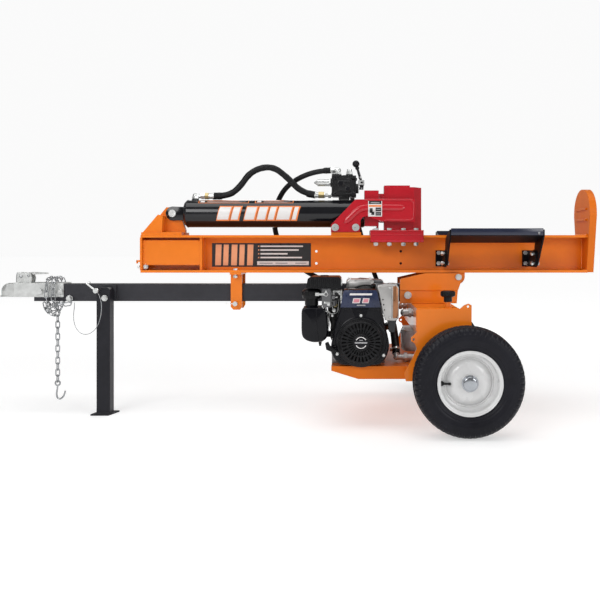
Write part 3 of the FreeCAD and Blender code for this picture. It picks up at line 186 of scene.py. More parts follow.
MAT = {
    "orange": material("orange_enamel", (0.80, 0.190, 0.007), rough=0.34, var=0.05, scale=14, bump=0.10, bump_scale=420, depth=0.0004, worn_edge_and_highlight=(0.20, 0.06, 0.02), worn_edge_and_highlight_amt=0.55, coat=0.40, spec=0.20, edge=0.0016, dust=0.05),
    "red": material("red_enamel", (0.46, 0.004, 0.014), rough=0.22, spec=0.3, var=0.10, scale=16, bump=0.10, bump_scale=380, depth=0.0004, worn_edge_and_highlight=(0.10, 0.02, 0.02), worn_edge_and_highlight_amt=0.5, coat=0.6, edge=0.0022, dust=0.04),
    "charcoal": material("charcoal_powder_coat", (0.028, 0.028, 0.034), rough=0.46, spec=0.28, var=0.14, scale=40, bump=0.30, bump_scale=1300, depth=0.0003, worn_edge_and_highlight=(0.20, 0.20, 0.21), worn_edge_and_highlight_amt=0.45, edge=0.002, dust=0.10),
    "charcoal_dark": material("charcoal_powder_coat_dark", (0.013, 0.013, 0.017), rough=0.44, spec=0.20, var=0.14, scale=40, bump=0.30, bump_scale=1300, depth=0.0003, worn_edge_and_highlight=(0.20, 0.20, 0.21), worn_edge_and_highlight_amt=0.45, edge=0.002, dust=0.06),
    "orange_deep": material("orange_enamel_deep", (0.66, 0.145, 0.006), rough=0.36, var=0.05, scale=14, bump=0.10, bump_scale=420, depth=0.0004, worn_edge_and_highlight=(0.20, 0.06, 0.02), worn_edge_and_highlight_amt=0.55, spec=0.18, edge=0.0016, dust=0.04),
    # darkened copy of the zinc: painted shade for the chain's dark contrasts; its light edges are wear and painted
    # highlight
    "zinc_chain": material("zinc_darkened_painted_shade", (0.34, 0.35, 0.36), rough=0.26, metal=0.95, var=0.30, scale=60, bump=0.25, bump_scale=600, depth=0.0003, worn_edge_and_highlight=(0.75, 0.75, 0.74), worn_edge_and_highlight_amt=0.7, edge=0.001),
    "hub_cap": material("pressed_steel_cap", (0.42, 0.44, 0.47), rough=0.22, metal=1.0, var=0.10, scale=50, bump=0.10, bump_scale=600, worn_edge_and_highlight=(0.3, 0.3, 0.3), worn_edge_and_highlight_amt=0.4),
    "cradle_black": material("cradle_enamel", (0.003, 0.003, 0.005), rough=0.48, spec=0.10, var=0.2, scale=20, bump=0.15, bump_scale=700, worn_edge_and_highlight=(0.10, 0.10, 0.10), worn_edge_and_highlight_amt=0.45, edge=0.0015, dust=0.02),
    # lighter bluish copy of the cradle black: painted light and sky reflection on the trays' lit outer lip
    "cradle_lip": material("cradle_lip_painted_lit_sheen", (0.012, 0.016, 0.040), rough=0.20, spec=0.45, var=0.1, scale=20, bump=0.08, bump_scale=400, worn_edge_and_highlight=(0.10, 0.10, 0.12), worn_edge_and_highlight_amt=0.4, edge=0.0015, coat=0.3),
    "decal_peach": material("decal_peach", (0.80, 0.36, 0.18), rough=0.34, var=0.06, scale=60, bump=0.05, bump_scale=700, edge=0.0003),
    "black": material("black_enamel", (0.003, 0.003, 0.005), rough=0.15, spec=0.28, var=0.2, scale=12, bump=0.08, bump_scale=300, depth=0.0003, worn_edge_and_highlight=(0.12, 0.12, 0.12), worn_edge_and_highlight_amt=0.45, coat=0.35, edge=0.0015, dust=0.02),
    "black_soft": material("black_enamel_soft", (0.005, 0.005, 0.008), rough=0.26, spec=0.42, var=0.2, scale=20, bump=0.18, bump_scale=700, depth=0.0003, worn_edge_and_highlight=(0.16, 0.16, 0.16), worn_edge_and_highlight_amt=0.5, coat=0.2, edge=0.0015, dust=0.05),
    "zinc": material("zinc_plate", (0.66, 0.67, 0.66), rough=0.30, metal=0.92, var=0.16, scale=60, bump=0.25, bump_scale=600, depth=0.0003, worn_edge_and_highlight=(0.28, 0.27, 0.26), worn_edge_and_highlight_amt=0.6, edge=0.001),
    "zinc_dull": material("zinc_plate_dull", (0.60, 0.61, 0.60), rough=0.44, metal=0.75, var=0.20, scale=45, bump=0.30, bump_scale=500, depth=0.0003, worn_edge_and_highlight=(0.30, 0.29, 0.28), worn_edge_and_highlight_amt=0.5, edge=0.002),
    "brass": material("yellow_passivated_nut", (0.46, 0.37, 0.19), rough=0.30, metal=0.95, var=0.15, scale=60, bump=0.15, bump_scale=700, worn_edge_and_highlight=(0.30, 0.22, 0.10), worn_edge_and_highlight_amt=0.5),
    "steel": material("machined_steel", (0.55, 0.56, 0.58), rough=0.22, metal=1.0, var=0.10, scale=90, bump=0.20, bump_scale=1500, worn_edge_and_highlight=(0.3, 0.3, 0.3), worn_edge_and_highlight_amt=0.3, stretch=(0.05, 1.0, 1.0)),
    "chrome": material("ground_chrome_rod", (0.74, 0.75, 0.77), rough=0.09, metal=1.0, var=0.04, scale=120, bump=0.05, bump_scale=1800, stretch=(0.04, 1, 1), rough_var=0.03),
    "iron": material("black_cast_iron", (0.006, 0.006, 0.007), rough=0.40, spec=0.24, var=0.22, scale=70, bump=0.75, bump_scale=520, depth=0.0006, worn_edge_and_highlight=(0.22, 0.22, 0.22), worn_edge_and_highlight_amt=0.4, edge=0.003, coat=0.15),
    "alu_dark": material("carburettor_casting", (0.14, 0.14, 0.145), rough=0.42, metal=0.6, var=0.2, scale=60, bump=0.5, bump_scale=560, depth=0.0005, worn_edge_and_highlight=(0.5, 0.5, 0.5), worn_edge_and_highlight_amt=0.5, edge=0.002),
    "shield_warm": material("shield_brown_right_patch", (0.34, 0.15, 0.07), rough=0.30, metal=0.7, var=0.2, scale=24, bump=0.15, bump_scale=500, worn_edge_and_highlight=(0.20, 0.10, 0.05), worn_edge_and_highlight_amt=0.5, edge=0.003),
    "alu_mid": material("crankcase_casting", (0.27, 0.27, 0.28), rough=0.42, metal=0.8, var=0.14, scale=60, bump=0.60, bump_scale=560, depth=0.0005, worn_edge_and_highlight=(0.6, 0.6, 0.6), worn_edge_and_highlight_amt=0.5, edge=0.002),
    "alu": material("die_cast_aluminium", (0.50, 0.51, 0.52), rough=0.42, metal=0.85, var=0.14, scale=60, bump=0.60, bump_scale=560, depth=0.0005, worn_edge_and_highlight=(0.68, 0.68, 0.68), worn_edge_and_highlight_amt=0.5, edge=0.002),
    # black moulding: its light edge colour is a painted highlight on the rib edges
    "plastic": material("black_moulding", (0.004, 0.004, 0.005), rough=0.32, spec=0.22, var=0.15, scale=30, bump=0.30, bump_scale=1100, depth=0.0002, worn_edge_and_highlight=(0.15, 0.15, 0.16), worn_edge_and_highlight_amt=0.7, edge=0.0016),
    "plastic_gloss": material("black_moulding_gloss", (0.003, 0.003, 0.005), rough=0.22, spec=0.18, var=0.15, scale=30, bump=0.12, bump_scale=900, depth=0.0002, worn_edge_and_highlight=(0.06, 0.06, 0.06), worn_edge_and_highlight_amt=0.4, edge=0.0022, coat=0.10),
    "hose": material("hose_cover_rubber", (0.006, 0.006, 0.007), rough=0.40, spec=0.20, var=0.25, scale=50, bump=0.55, bump_scale=850, depth=0.0004, edge=0.0005),
    # tyre rubber: its light edge colour is a painted highlight on the tread and sidewall edges
    "tyre": material("tyre_rubber", (0.007, 0.007, 0.011), rough=0.38, spec=0.18, var=0.22, scale=30, bump=0.35, bump_scale=700, depth=0.0003, worn_edge_and_highlight=(0.10, 0.098, 0.10), worn_edge_and_highlight_amt=0.6, edge=0.0014, dust=0.02),
    "rim": material("off_white_enamel", (0.66, 0.66, 0.66), rough=0.28, var=0.05, scale=14, bump=0.08, bump_scale=380, depth=0.0003, worn_edge_and_highlight=(0.45, 0.42, 0.38), worn_edge_and_highlight_amt=0.45, coat=0.4, edge=0.0015, dust=0.05),
    "decal_black": material("decal_black", (0.012, 0.011, 0.012), rough=0.30, var=0.2, scale=60, bump=0.05, bump_scale=700, edge=0.0003),
    "decal_orange": material("decal_orange", (0.80, 0.20, 0.03), rough=0.32, var=0.06, scale=60, bump=0.05, bump_scale=700, edge=0.0003),
    "decal_rose": material("decal_rose", (0.62, 0.22, 0.27), rough=0.32, var=0.06, scale=60, bump=0.05, bump_scale=700, edge=0.0003),
    "decal_white": material("decal_white", (0.72, 0.70, 0.69), rough=0.34, var=0.04, scale=60, bump=0.05, bump_scale=700, edge=0.0003),
    "decal_blue": material("decal_blue", (0.035, 0.09, 0.30), rough=0.30, var=0.35, scale=26, bump=0.05, bump_scale=700, edge=0.0003),
    "decal_navy": material("decal_navy", (0.012, 0.020, 0.060), rough=0.28, var=0.35, scale=26, bump=0.05, bump_scale=700, edge=0.0003),
    "shield": material("heat_shield", (0.46, 0.45, 0.44), rough=0.34, metal=0.85, var=0.12, scale=24, bump=0.15, bump_scale=500, worn_edge_and_highlight=(0.30, 0.17, 0.10), worn_edge_and_highlight_amt=0.6, edge=0.004),
    "decal_grey": material("decal_grey", (0.34, 0.34, 0.35), rough=0.34, var=0.06, scale=60, bump=0.05, bump_scale=700, edge=0.0003),
    # flat black for holes and gaps: painted shade where there is only an opening
    "dark": material("painted_shade_opening", (0.003, 0.003, 0.003), rough=0.9, var=0.2, bump=0.1, edge=0.0003),
    "canister": material("canister_enamel", (0.62, 0.63, 0.65), rough=0.34, var=0.05, scale=20, bump=0.08, bump_scale=400, worn_edge_and_highlight=(0.3, 0.3, 0.3), worn_edge_and_highlight_amt=0.4, coat=0.3),
}

NODE_MAT = {
    "tongue_tube": "charcoal", "stand_leg": "charcoal_dark", "hitch_coupler": "zinc_dull", "coupler_latch": "zinc", "ball_clamp": "zinc",
    "safety_chain_wrap": "zinc_chain", "safety_chain": "zinc_chain", "chain_hook": "zinc_chain", "chassis_bolts": "zinc", "beam_bolts": "zinc", "slide_bolts": "zinc",
    "filter_and_fittings": "zinc_dull", "valve_fittings": "zinc", "stand_lock_pin": "zinc", "saddle_lock_pin": "zinc", "throttle_lever": "zinc",
    "pin_lanyard": "zinc_chain", "beam_mount_bracket": "orange", "hydraulic_tank": "orange", "tank_end_plates": "orange", "engine_base": "orange_deep",
    "splitting_beam": "orange", "foot_plate": "orange_deep", "cylinder_anchor": "orange", "saddle_bracket": "orange", "wedge": "red", "wedge_slide": "red",
    "stripper_plates": "red", "cylinder_barrel": "black", "log_cradles": "cradle_black", "muffler": "black_soft", "axle": "black_soft",
    "wheel_bearings": "steel", "crankshaft": "steel", "piston_rod": "chrome", "pump_idler_gear": "steel", "valve_spool": "steel",
    "valve_body": "iron", "pump_mount": "iron", "engine_crankcase": "alu_mid", "carburettor": "alu_dark", "pump_body": "alu",
    "blower_housing": "plastic_gloss", "starter_cover": "plastic", "starter_grip": "plastic", "air_cleaner": "plastic", "fuel_tank": "plastic_gloss",
    "fuel_cap": "plastic", "breather_cap": "plastic", "control_lever": "black", "suction_hose": "hose", "cylinder_hose": "hose",
    "pressure_hose_upper": "hose", "pressure_hose_lower": "hose", "return_hose_upper": "hose", "return_hose_lower": "hose",
    "tyre_left": "tyre", "tyre_right": "tyre", "rim_left": "rim", "rim_right": "rim",
}
for _name, _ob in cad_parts.items():
    _m = MAT[NODE_MAT.get(_name, "charcoal")]
    if len(_ob.data.materials) == 0:
        _ob.data.materials.append(_m)
    for _i in range(len(_ob.data.materials)):
        _ob.data.materials[_i] = _m
    for _s in _ob.material_slots:
        _s.material = _m


# ---------------------------------------------------------------------------
# mesh code.  Points are in millimetres and turned into metres at the end.
# ---------------------------------------------------------------------------
def unit(v):
    v = np.array(v, float)
    return v / np.linalg.norm(v)


def basis(axis):
    a = unit(axis)
    ref = np.array((0, 0, 1.0)) if abs(a[2]) < 0.9 else np.array((1.0, 0, 0))
    u = unit(np.cross(ref, a))
    return a, u, np.cross(a, u)


def lathe(origin, axis, profile, segs=48, closed=False, phase=0.0):
    """profile is [(radius, height along axis)], turned round the axis"""
    a, u, w = basis(axis)
    o = np.array(origin, float)
    verts, faces, rows = [], [], []
    for r, h in profile:
        if r < 1e-6:
            rows.append([len(verts)])
            verts.append(o + a * h)
            continue
        row = []
        for i in range(segs):
            t = 2 * math.pi * i / segs + phase
            row.append(len(verts))
            verts.append(o + a * h + r * (math.cos(t) * u + math.sin(t) * w))
        rows.append(row)
    pairs = list(zip(rows, rows[1:]))
    if closed:
        pairs.append((rows[-1], rows[0]))
    for p, q in pairs:
        if len(p) == 1 and len(q) == 1:
            continue
        for i in range(segs):
            j = (i + 1) % segs
            if len(p) == 1:
                faces.append((p[0], q[j], q[i]))
            elif len(q) == 1:
                faces.append((p[i], p[j], q[0]))
            else:
                faces.append((p[i], p[j], q[j], q[i]))
    return verts, faces


def from_bm(bm):
    bm.verts.ensure_lookup_table()
    bm.verts.index_update()
    v = [np.array(x.co) for x in bm.verts]
    f = [tuple(x.index for x in q.verts) for q in bm.faces]
    bm.free()
    return v, f


def rbox(x0, x1, y0, y1, z0, z1, r=1.5, seg=2):
    bm = bmesh.new()
    bmesh.ops.create_cube(bm, size=1.0)
    for v in bm.verts:
        v.co = ((x0 + x1) / 2 + v.co.x * (x1 - x0), (y0 + y1) / 2 + v.co.y * (y1 - y0), (z0 + z1) / 2 + v.co.z * (z1 - z0))
    r = min(r, 0.45 * min(x1 - x0, y1 - y0, z1 - z0))
    if r > 0:
        bmesh.ops.bevel(bm, geom=list(bm.edges), offset=r, segments=seg, profile=0.5, affect="EDGES")
    return from_bm(bm)


def prism(points, plane, a, b, r=1.0, seg=2):
    """closed outline in a plane ("xz", "yz" or "xy"), from a to b along the third axis"""
    bm = bmesh.new()

    def at(p, t):
        if plane == "xz":
            return (p[0], t, p[1])
        if plane == "yz":
            return (t, p[0], p[1])
        return (p[0], p[1], t)

    lo = [bm.verts.new(at(p, a)) for p in points]
    hi = [bm.verts.new(at(p, b)) for p in points]
    bm.faces.new(lo)
    bm.faces.new(hi[::-1])
    n = len(points)
    for i in range(n):
        j = (i + 1) % n
        bm.faces.new((lo[i], hi[i], hi[j], lo[j]))
    bmesh.ops.recalc_face_normals(bm, faces=bm.faces)
    if r > 0:
        bmesh.ops.bevel(bm, geom=list(bm.edges), offset=r, segments=seg, profile=0.5, affect="EDGES", clamp_overlap=True)
    return from_bm(bm)


def arc(cx, cz, r, a0, a1, n):
    return [(cx + r * math.cos(math.radians(a0 + (a1 - a0) * i / n)), cz + r * math.sin(math.radians(a0 + (a1 - a0) * i / n))) for i in range(n + 1)]


def hexagon(origin, axis, flats, h, chamfer=1.2):
    r = flats / math.sqrt(3)
    v, f = lathe(origin, axis, [(0, 0), (r - chamfer * 0.3, 0), (r, chamfer * 0.3), (r, h - chamfer), (r - chamfer, h), (0, h)], 6)
    return v, f


def sweep(path, radius, sides=20, caps=True, flat=None, up=None):
    """tube along a dense path; radius is a number or one per point; flat=(across, out) makes it an oval"""
    P = np.array(path, float)
    n = len(P)
    T = np.gradient(P, axis=0)
    T /= np.linalg.norm(T, axis=1)[:, None]
    R = np.full(n, radius) if np.isscalar(radius) else np.array(radius, float)
    ref = np.array(up, float) if up is not None else (np.array((0, 0, 1.0)) if abs(T[0][2]) < 0.9 else np.array((0, 1.0, 0)))
    u = unit(ref - T[0] * np.dot(ref, T[0]))
    verts, faces = [], []
    for i in range(n):
        if up is not None:
            u = unit(np.array(up, float) - T[i] * np.dot(np.array(up, float), T[i]))
        else:
            u = unit(u - T[i] * np.dot(u, T[i]))
        w = np.cross(T[i], u)
        for k in range(sides):
            t = 2 * math.pi * k / sides
            if flat:
                verts.append(P[i] + flat[1] * R[i] * math.cos(t) * u + flat[0] * R[i] * math.sin(t) * w)
            else:
                verts.append(P[i] + R[i] * (math.cos(t) * u + math.sin(t) * w))
    for i in range(n - 1):
        for k in range(sides):
            j = (k + 1) % sides
            faces.append((i * sides + k, i * sides + j, (i + 1) * sides + j, (i + 1) * sides + k))
    if caps:
        faces.append(tuple(range(sides))[::-1])
        faces.append(tuple((n - 1) * sides + k for k in range(sides)))
    return verts, faces


def smooth_line(points, step=4.0, round_by=0.0):
    """even points along straight runs, corners rounded by averaging (for ribs and weld beads)"""
    P = [np.array(p, float) for p in points]
    out = []
    for a, b in zip(P, P[1:]):
        n = max(1, int(np.linalg.norm(b - a) / step))
        out += [a + (b - a) * i / n for i in range(n)]
    out.append(P[-1])
    out = np.array(out)
    for _ in range(int(round_by)):
        out[1:-1] = (out[:-2] + 2 * out[1:-1] + out[2:]) / 4
    return out


def sphere(c, r, segs=32, rings=16):
    return lathe(c, (0, 0, 1), [(r * math.sin(math.pi * i / rings), -r * math.cos(math.pi * i / rings)) for i in range(rings + 1)], segs)


class Piece:
    """one named piece made of many small meshes"""

    def __init__(self, name):
        self.name, self.v, self.f, self.mi, self.mats = name, [], [], [], []

    def add(self, vf, mat):
        v, f = vf
        o = len(self.v)
        self.v += [tuple(p) for p in v]
        self.f += [tuple(i + o for i in q) for q in f]
        if mat not in self.mats:
            self.mats.append(mat)
        self.mi += [self.mats.index(mat)] * len(f)
        return self

    def done(self, body=None, slot=None, replaces=(), angle=35.0):
        me = bpy.data.meshes.new(self.name)
        me.from_pydata([(p[0] * M, p[1] * M, p[2] * M) for p in self.v], [], self.f)
        me.update()
        bm = bmesh.new()
        bm.from_mesh(me)
        bmesh.ops.recalc_face_normals(bm, faces=bm.faces)
        bm.to_mesh(me)
        bm.free()
        for m in self.mats:
            me.materials.append(MAT[m])
        me.polygons.foreach_set("material_index", self.mi)
        me.polygons.foreach_set("use_smooth", [True] * len(me.polygons))
        me.set_sharp_from_angle(angle=math.radians(angle))
        ob = bpy.data.objects.new(self.name, me)
        scene.collection.objects.link(ob)
        if body:
            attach(ob, body)
        if replaces:
            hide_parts(*replaces)
        return ob


# ---------------------------------------------------------------------------
# hoses and the pin lanyard
# ---------------------------------------------------------------------------
ROUTES = {
    "cylinder_hose": [(-340, 0, 885), (-284, 0, 885), (-236, 1, 917), (-186, 2, 990), (-100, 3, 1012), (-34, 3, 962), (24, 2, 899), (80, 0, 889.6)],
    "pressure_hose": [(146, 5, 992), (98, 8, 991), (22, 26, 970), (-48, 60, 928), (-90, 96, 862), (-104, 112, 790), (-94, 114, 718), (-58, 110, 650), (0, 108, 592), (60, 108, 554), (130, 108, 520), (192, 106, 476), (234, 102, 432), (254, 100, 395)],
    "return_hose": [(228, 58, 905), (228, 98, 905), (233, 136, 888), (242, 158, 850), (256, 156, 786), (276, 138, 712), (300, 122, 636), (328, 114, 562), (352, 118, 500), (368, 128, 456), (396, 142, 424), (438, 150, 416)],
    "suction_hose": [(404, -190, 262), (403, -160, 300), (400, -112, 337), (399, -56, 358), (398, 0, 358), (388, 48, 343), (360, 82, 329), (317, 100, 324)],
    "pin_lanyard": [(-776, -129.5, 496), (-764, -129.5, 474), (-760, -127, 440), (-765, -121, 402), (-778, -115, 363), (-802, -109, 333), (-836, -102, 321), (-868, -92, 334), (-889, -80, 366), (-896, -67, 402), (-897, -53, 432), (-901, -44, 447)],
}


def spline_points(name):
    cu = bpy.data.curves.new(name + "_route", "CURVE")
    cu.dimensions = "3D"
    cu.resolution_u = 18
    pts = ROUTES[name]
    sp = cu.splines.new("NURBS")
    sp.points.add(len(pts) - 1)
    for p, q in zip(sp.points, pts):
        p.co = (q[0] * M, q[1] * M, q[2] * M, 1.0)
    sp.order_u = 3
    sp.use_endpoint_u = True
    ob = bpy.data.objects.new(name + "_route", cu)
    scene.collection.objects.link(ob)
    bpy.context.view_layer.update()
    me = bpy.data.meshes.new_from_object(ob)
    line = np.array([v.co for v in me.vertices], float)
    bpy.data.objects.remove(ob)
    bpy.data.meshes.remove(me)
    return line / M


def ferrule(p, line, i0, r, length, sign=1):
    """crimped hose end: ringed sleeve round the hose, starting at path point i0"""
    d = unit(line[i0 + 2 * sign] - line[i0]) if 0 <= i0 + 2 * sign < len(line) else unit(line[i0] - line[i0 - 2 * sign])
    o = line[i0]
    prof = [(r - 2, -1.0), (r + 1.2, 0), (r + 1.8, 1.0)]
    n = max(2, int(length / 6))
    for k in range(n):
        h = length * k / n
        prof += [(r + 1.8, h + 1.2), (r + 0.9, h + 2.6), (r + 1.8, h + 4.2)]
    prof += [(r + 1.4, length), (r - 1.5, length + 0.5)]
    p.add(lathe(o, d, prof, 32), "hose")
    p.add(lathe(o, d, [(r - 2, -3.0), (r + 2.2, -2.6), (r + 2.2, 1.4), (r - 1.0, 2.0)], 32), "zinc")
    p.add(lathe(o + d * length * 0.55, d, [(r + 1.0, 0), (r + 2.1, 0.6), (r + 2.1, 5.4), (r + 1.0, 6.0)], 32), "hose")


def clamp_ring(p, o, d, r, w=9.0):
    """worm-drive hose clamp"""
    p.add(lathe(o, d, [(r, 0), (r + 1.2, 0.6), (r + 1.2, w - 0.6), (r, w)], 40), "zinc")
    a, u, q = basis(d)
    c = np.array(o, float) + a * w / 2 + u * (r + 3.5)
    p.add(lathe(c - q * 9, q, [(0, 0), (4.2, 0), (4.2, 14), (3.0, 15.5), (3.0, 18), (0, 18)], 12), "zinc")


HOSE = {}
for _n, _r, _sides in (("cylinder_hose", 13.0, 28), ("pressure_hose", 11.0, 26), ("return_hose", 10.0, 26), ("suction_hose", 15.5, 30), ("pin_lanyard", 1.3, 10)):
    HOSE[_n] = spline_points(_n)

_line = HOSE["cylinder_hose"]
_p = Piece("cylinder_line")
_q = np.arange(len(_line))
_w = 13.0 + 0.35 * np.sin(_q * 0.9) * np.sin(_q * 0.23) + 0.25 * np.sin(_q * 0.41 + 1.0)
_p.add(sweep(_line, _w, 30), "hose")
cylinder_line = _p.done("beam", "hose_rubber", ["cylinder_hose"])
_p = Piece("cylinder_line_ends")
ferrule(_p, _line, 0, 13.0, 34, 1)
ferrule(_p, _line, len(_line) - 1, 13.0, 34, -1)
cylinder_line_ends = _p.done("beam", "zinc")

_line = HOSE["pressure_hose"]
pressure_line = Piece("pressure_line").add(sweep(_line, 11.0, 28), "hose").done(None, "hose_rubber")
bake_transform(pressure_line)
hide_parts("pressure_hose_upper", "pressure_hose_lower")
_p = Piece("pressure_line_top_end")
ferrule(_p, _line, 0, 11.0, 30, 1)
pressure_top = _p.done("beam", "zinc")
_p = Piece("pressure_line_pump_end")
ferrule(_p, _line, len(_line) - 1, 11.0, 24, -1)
pressure_low = _p.done("chassis", "zinc")

_line = HOSE["return_hose"]
return_line = Piece("return_line").add(sweep(_line, 10.0, 28), "hose").done(None, "hose_rubber")
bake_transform(return_line)
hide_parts("return_hose_upper", "return_hose_lower")
_p = Piece("return_line_top_end")
ferrule(_p, _line, 0, 10.0, 28, 1)
return_top = _p.done("beam", "zinc")
_p = Piece("return_line_tank_end")
ferrule(_p, _line, len(_line) - 1, 10.0, 22, -1)
return_low = _p.done("chassis", "zinc")

_line = HOSE["suction_hose"]
_p = Piece("suction_line")
_p.add(sweep(_line, 15.5, 32), "hose")
suction_line = _p.done("chassis", "hose_rubber", ["suction_hose"])
_p = Piece("suction_line_clamps")
clamp_ring(_p, _line[3], _line[5] - _line[3], 15.6)
clamp_ring(_p, _line[-10], _line[-8] - _line[-10], 15.6)
suction_clamps = _p.done("chassis", "zinc")

_line = HOSE["pin_lanyard"]
lanyard = Piece("lock_pin_lanyard").add(sweep(_line, 1.3, 10), "zinc_chain").done("chassis", "zinc", ["pin_lanyard"])

# ---------------------------------------------------------------------------
# wheels
# ---------------------------------------------------------------------------
AX, AZ, WY = 645.0, 198.0, 420.0


def tyre_mesh(s):
    outer = [(105.6, 43.0), (109, 46.0), (113, 47.6), (116, 47.2), (119, 48.9), (122, 50.0), (124, 49.4), (126, 51.2), (131, 52.8), (134, 52.4), (137, 54.4), (144, 55.9), (148, 55.6), (151, 56.9), (155, 57.0),
             (158, 56.3), (161, 56.9), (166, 56.6), (170, 55.9), (173, 54.8)]
    shoulder = [(175, 55.2), (178.5, 54.2), (182, 52.6), (185.5, 49.6), (189, 46.6), (191.5, 43.0), (193.0, 39.0)]
    tread = [(194.3, 36.0), (195.0, 32.0), (195.4, 28.4), (195.6, 26.0), (196.2, 20.0), (196.6, 14.5), (196.7, 12.0), (197.0, 6.5), (197.2, 3.0)]
    half = [(r, t, 0) for r, t in outer] + [(r, t, 1) for r, t in shoulder] + [(r, t, 2) for r, t in tread]
    prof = half + [(197.4, 0.0, 2)] + [(r, -t, k) for r, t, k in half[::-1]]
    inner = [(105.6, -34.0, 3), (125, -42, 3), (152, -46, 3), (178, -40, 3), (187, -16, 3), (187, 16, 3), (178, 40, 3), (152, 46, 3), (125, 42, 3), (105.6, 34.0, 3)]
    prof = prof + inner
    segs, verts, faces = 360, [], []
    n = len(prof)
    for i in range(segs):
        a = 2 * math.pi * i / segs
        for j, (r, t, kind) in enumerate(prof):
            rr, tt = r, t
            blk = i % 6
            if kind == 1:
                if blk in (0, 1):
                    k = 2.6 if blk == 0 else 2.2
                    rr -= k * 0.55
                    tt -= math.copysign(k * 0.8, t)
            elif kind == 2:
                g = abs(t)
                if 24.5 < g < 29.5 or 5.0 < g < 7.6 or 13.5 < g < 15.5:
                    rr -= 4.2
                elif (i + (3 if g > 10 else 0)) % 6 == 0 and g > 7.5:
                    rr -= 3.0
            elif kind == 0 and 158.5 < r < 172 and i % 3 == 0:
                tt -= math.copysign(0.5, t)
            verts.append((AX + rr * math.cos(a), s * (WY + tt), AZ + rr * math.sin(a)))
    for i in range(segs):
        k = (i + 1) % segs
        for j in range(n):
            l = (j + 1) % n
            faces.append((i * n + j, i * n + l, k * n + l, k * n + j))
    return verts, faces


def band(points, th):
    P = np.array(points, float)
    T = np.gradient(P, axis=0)
    T /= np.linalg.norm(T, axis=1)[:, None]
    Nn = np.stack([-T[:, 1], T[:, 0]], 1)
    return [tuple(p) for p in P + Nn * th / 2] + [tuple(p) for p in (P - Nn * th / 2)[::-1]]


def catmull(points, k=6):
    P = np.array([points[0]] + list(points) + [points[-1]], float)
    out = []
    for i in range(1, len(P) - 2):
        for j in range(k):
            t = j / k
            out.append(0.5 * ((2 * P[i]) + (-P[i - 1] + P[i + 1]) * t + (2 * P[i - 1] - 5 * P[i] + 4 * P[i + 1] - P[i + 2]) * t * t + (-P[i - 1] + 3 * P[i] - 3 * P[i + 1] + P[i + 2]) * t ** 3))
    out.append(P[-2])
    return [tuple(p) for p in out]


for _s, _side in ((-1, "left"), (1, "right")):
    _body = "wheel_" + _side
    _hub = (AX, _s * WY, AZ)
    _axis = (0, _s, 0)
    Piece("tyre_tread_" + _side).add(tyre_mesh(_s), "tyre").done(_body, "tyre_rubber", ["tyre_" + _side], angle=28)
    _p = Piece("rim_pressed_" + _side)
    _bar = catmull([(115.2, 51.0), (113.5, 50.4), (111.0, 48.6), (106.5, 47.6), (103.4, 45.0), (102.6, 38.0), (101.4, 26.0), (98.0, 19.5), (90.4, 16.0), (90.0, 8.0), (90.0, -8.0), (90.4, -16.0), (98.0, -19.5), (101.4, -26.0), (102.6, -38.0), (103.4, -45.0), (106.5, -47.6), (111.0, -48.6), (115.2, -51.0)], 4)
    _p.add(lathe(_hub, _axis, band(_bar, 2.6), 128, closed=True), "rim")
    _web = catmull([(90.0, 9.5), (86.0, 8.4), (80.5, 10.2), (74.0, 15.5), (66.0, 21.2), (58.0, 24.4), (48.0, 26.2), (38.0, 27.2), (27.0, 28.0)], 5)
    _p.add(lathe(_hub, _axis, band(_web, 3.2), 128, closed=True), "rim")
    _p.add(lathe(_hub, _axis, [(24.5, -35), (28.0, -35), (28.0, 25.5), (30.5, 28.5), (30.2, 31.5), (28.2, 33.0), (28.0, 41.0), (24.5, 41.0)], 96, closed=True), "rim")
    # weld bead joining web and rim
    _w = [(86.0 + 3.2 * math.cos(t), 13.0 + 3.2 * math.sin(t)) for t in np.linspace(0, 2 * math.pi, 9)[:-1]]
    _p.add(lathe(_hub, _axis, _w, 96, closed=True), "rim")
    _p.done(_body, "white_rim", ["rim_" + _side], angle=40)
    _p = Piece("dust_cap_" + _side)
    _cap = catmull([(25.0, 36.0), (25.2, 40.0), (25.4, 46.0), (25.0, 50.5), (22.5, 53.8), (17.0, 55.6), (9.0, 56.5), (0.0, 56.7)], 4)
    _p.add(lathe(_hub, _axis, [(23.4, 36.0)] + [(max(0.0, q[0]), q[1]) for q in _cap], 72), "hub_cap")
    _p.add(lathe(_hub, _axis, [(25.2, 40.8), (29.4, 41.2), (29.8, 42.4), (29.2, 43.6), (25.3, 44.0)], 72), "hub_cap")
    _p.add(lathe(_hub, _axis, [(26.2, 30.0), (27.4, 30.4), (27.6, 33.6), (26.8, 34.6), (25.2, 34.6)], 72), "zinc_chain")
    _p.done(_body, "zinc")
    _p = Piece("valve_stem_" + _side)
    _o = (AX - 97.0, _s * (WY + 20.0), AZ - 4.0)
    _d = (0.86, _s * 0.46, 0.05)
    _p.add(lathe(_o, _d, [(0, -3), (8.0, -3), (9.4, 0), (9.2, 3.0), (6.6, 6.0), (5.0, 8.5), (4.2, 14.0), (3.9, 24.0), (4.6, 25.0), (4.8, 26.0), (4.8, 33.0), (3.9, 34.5), (0, 34.5)], 24), "hose")
    _p.done(_body, "hose_rubber")

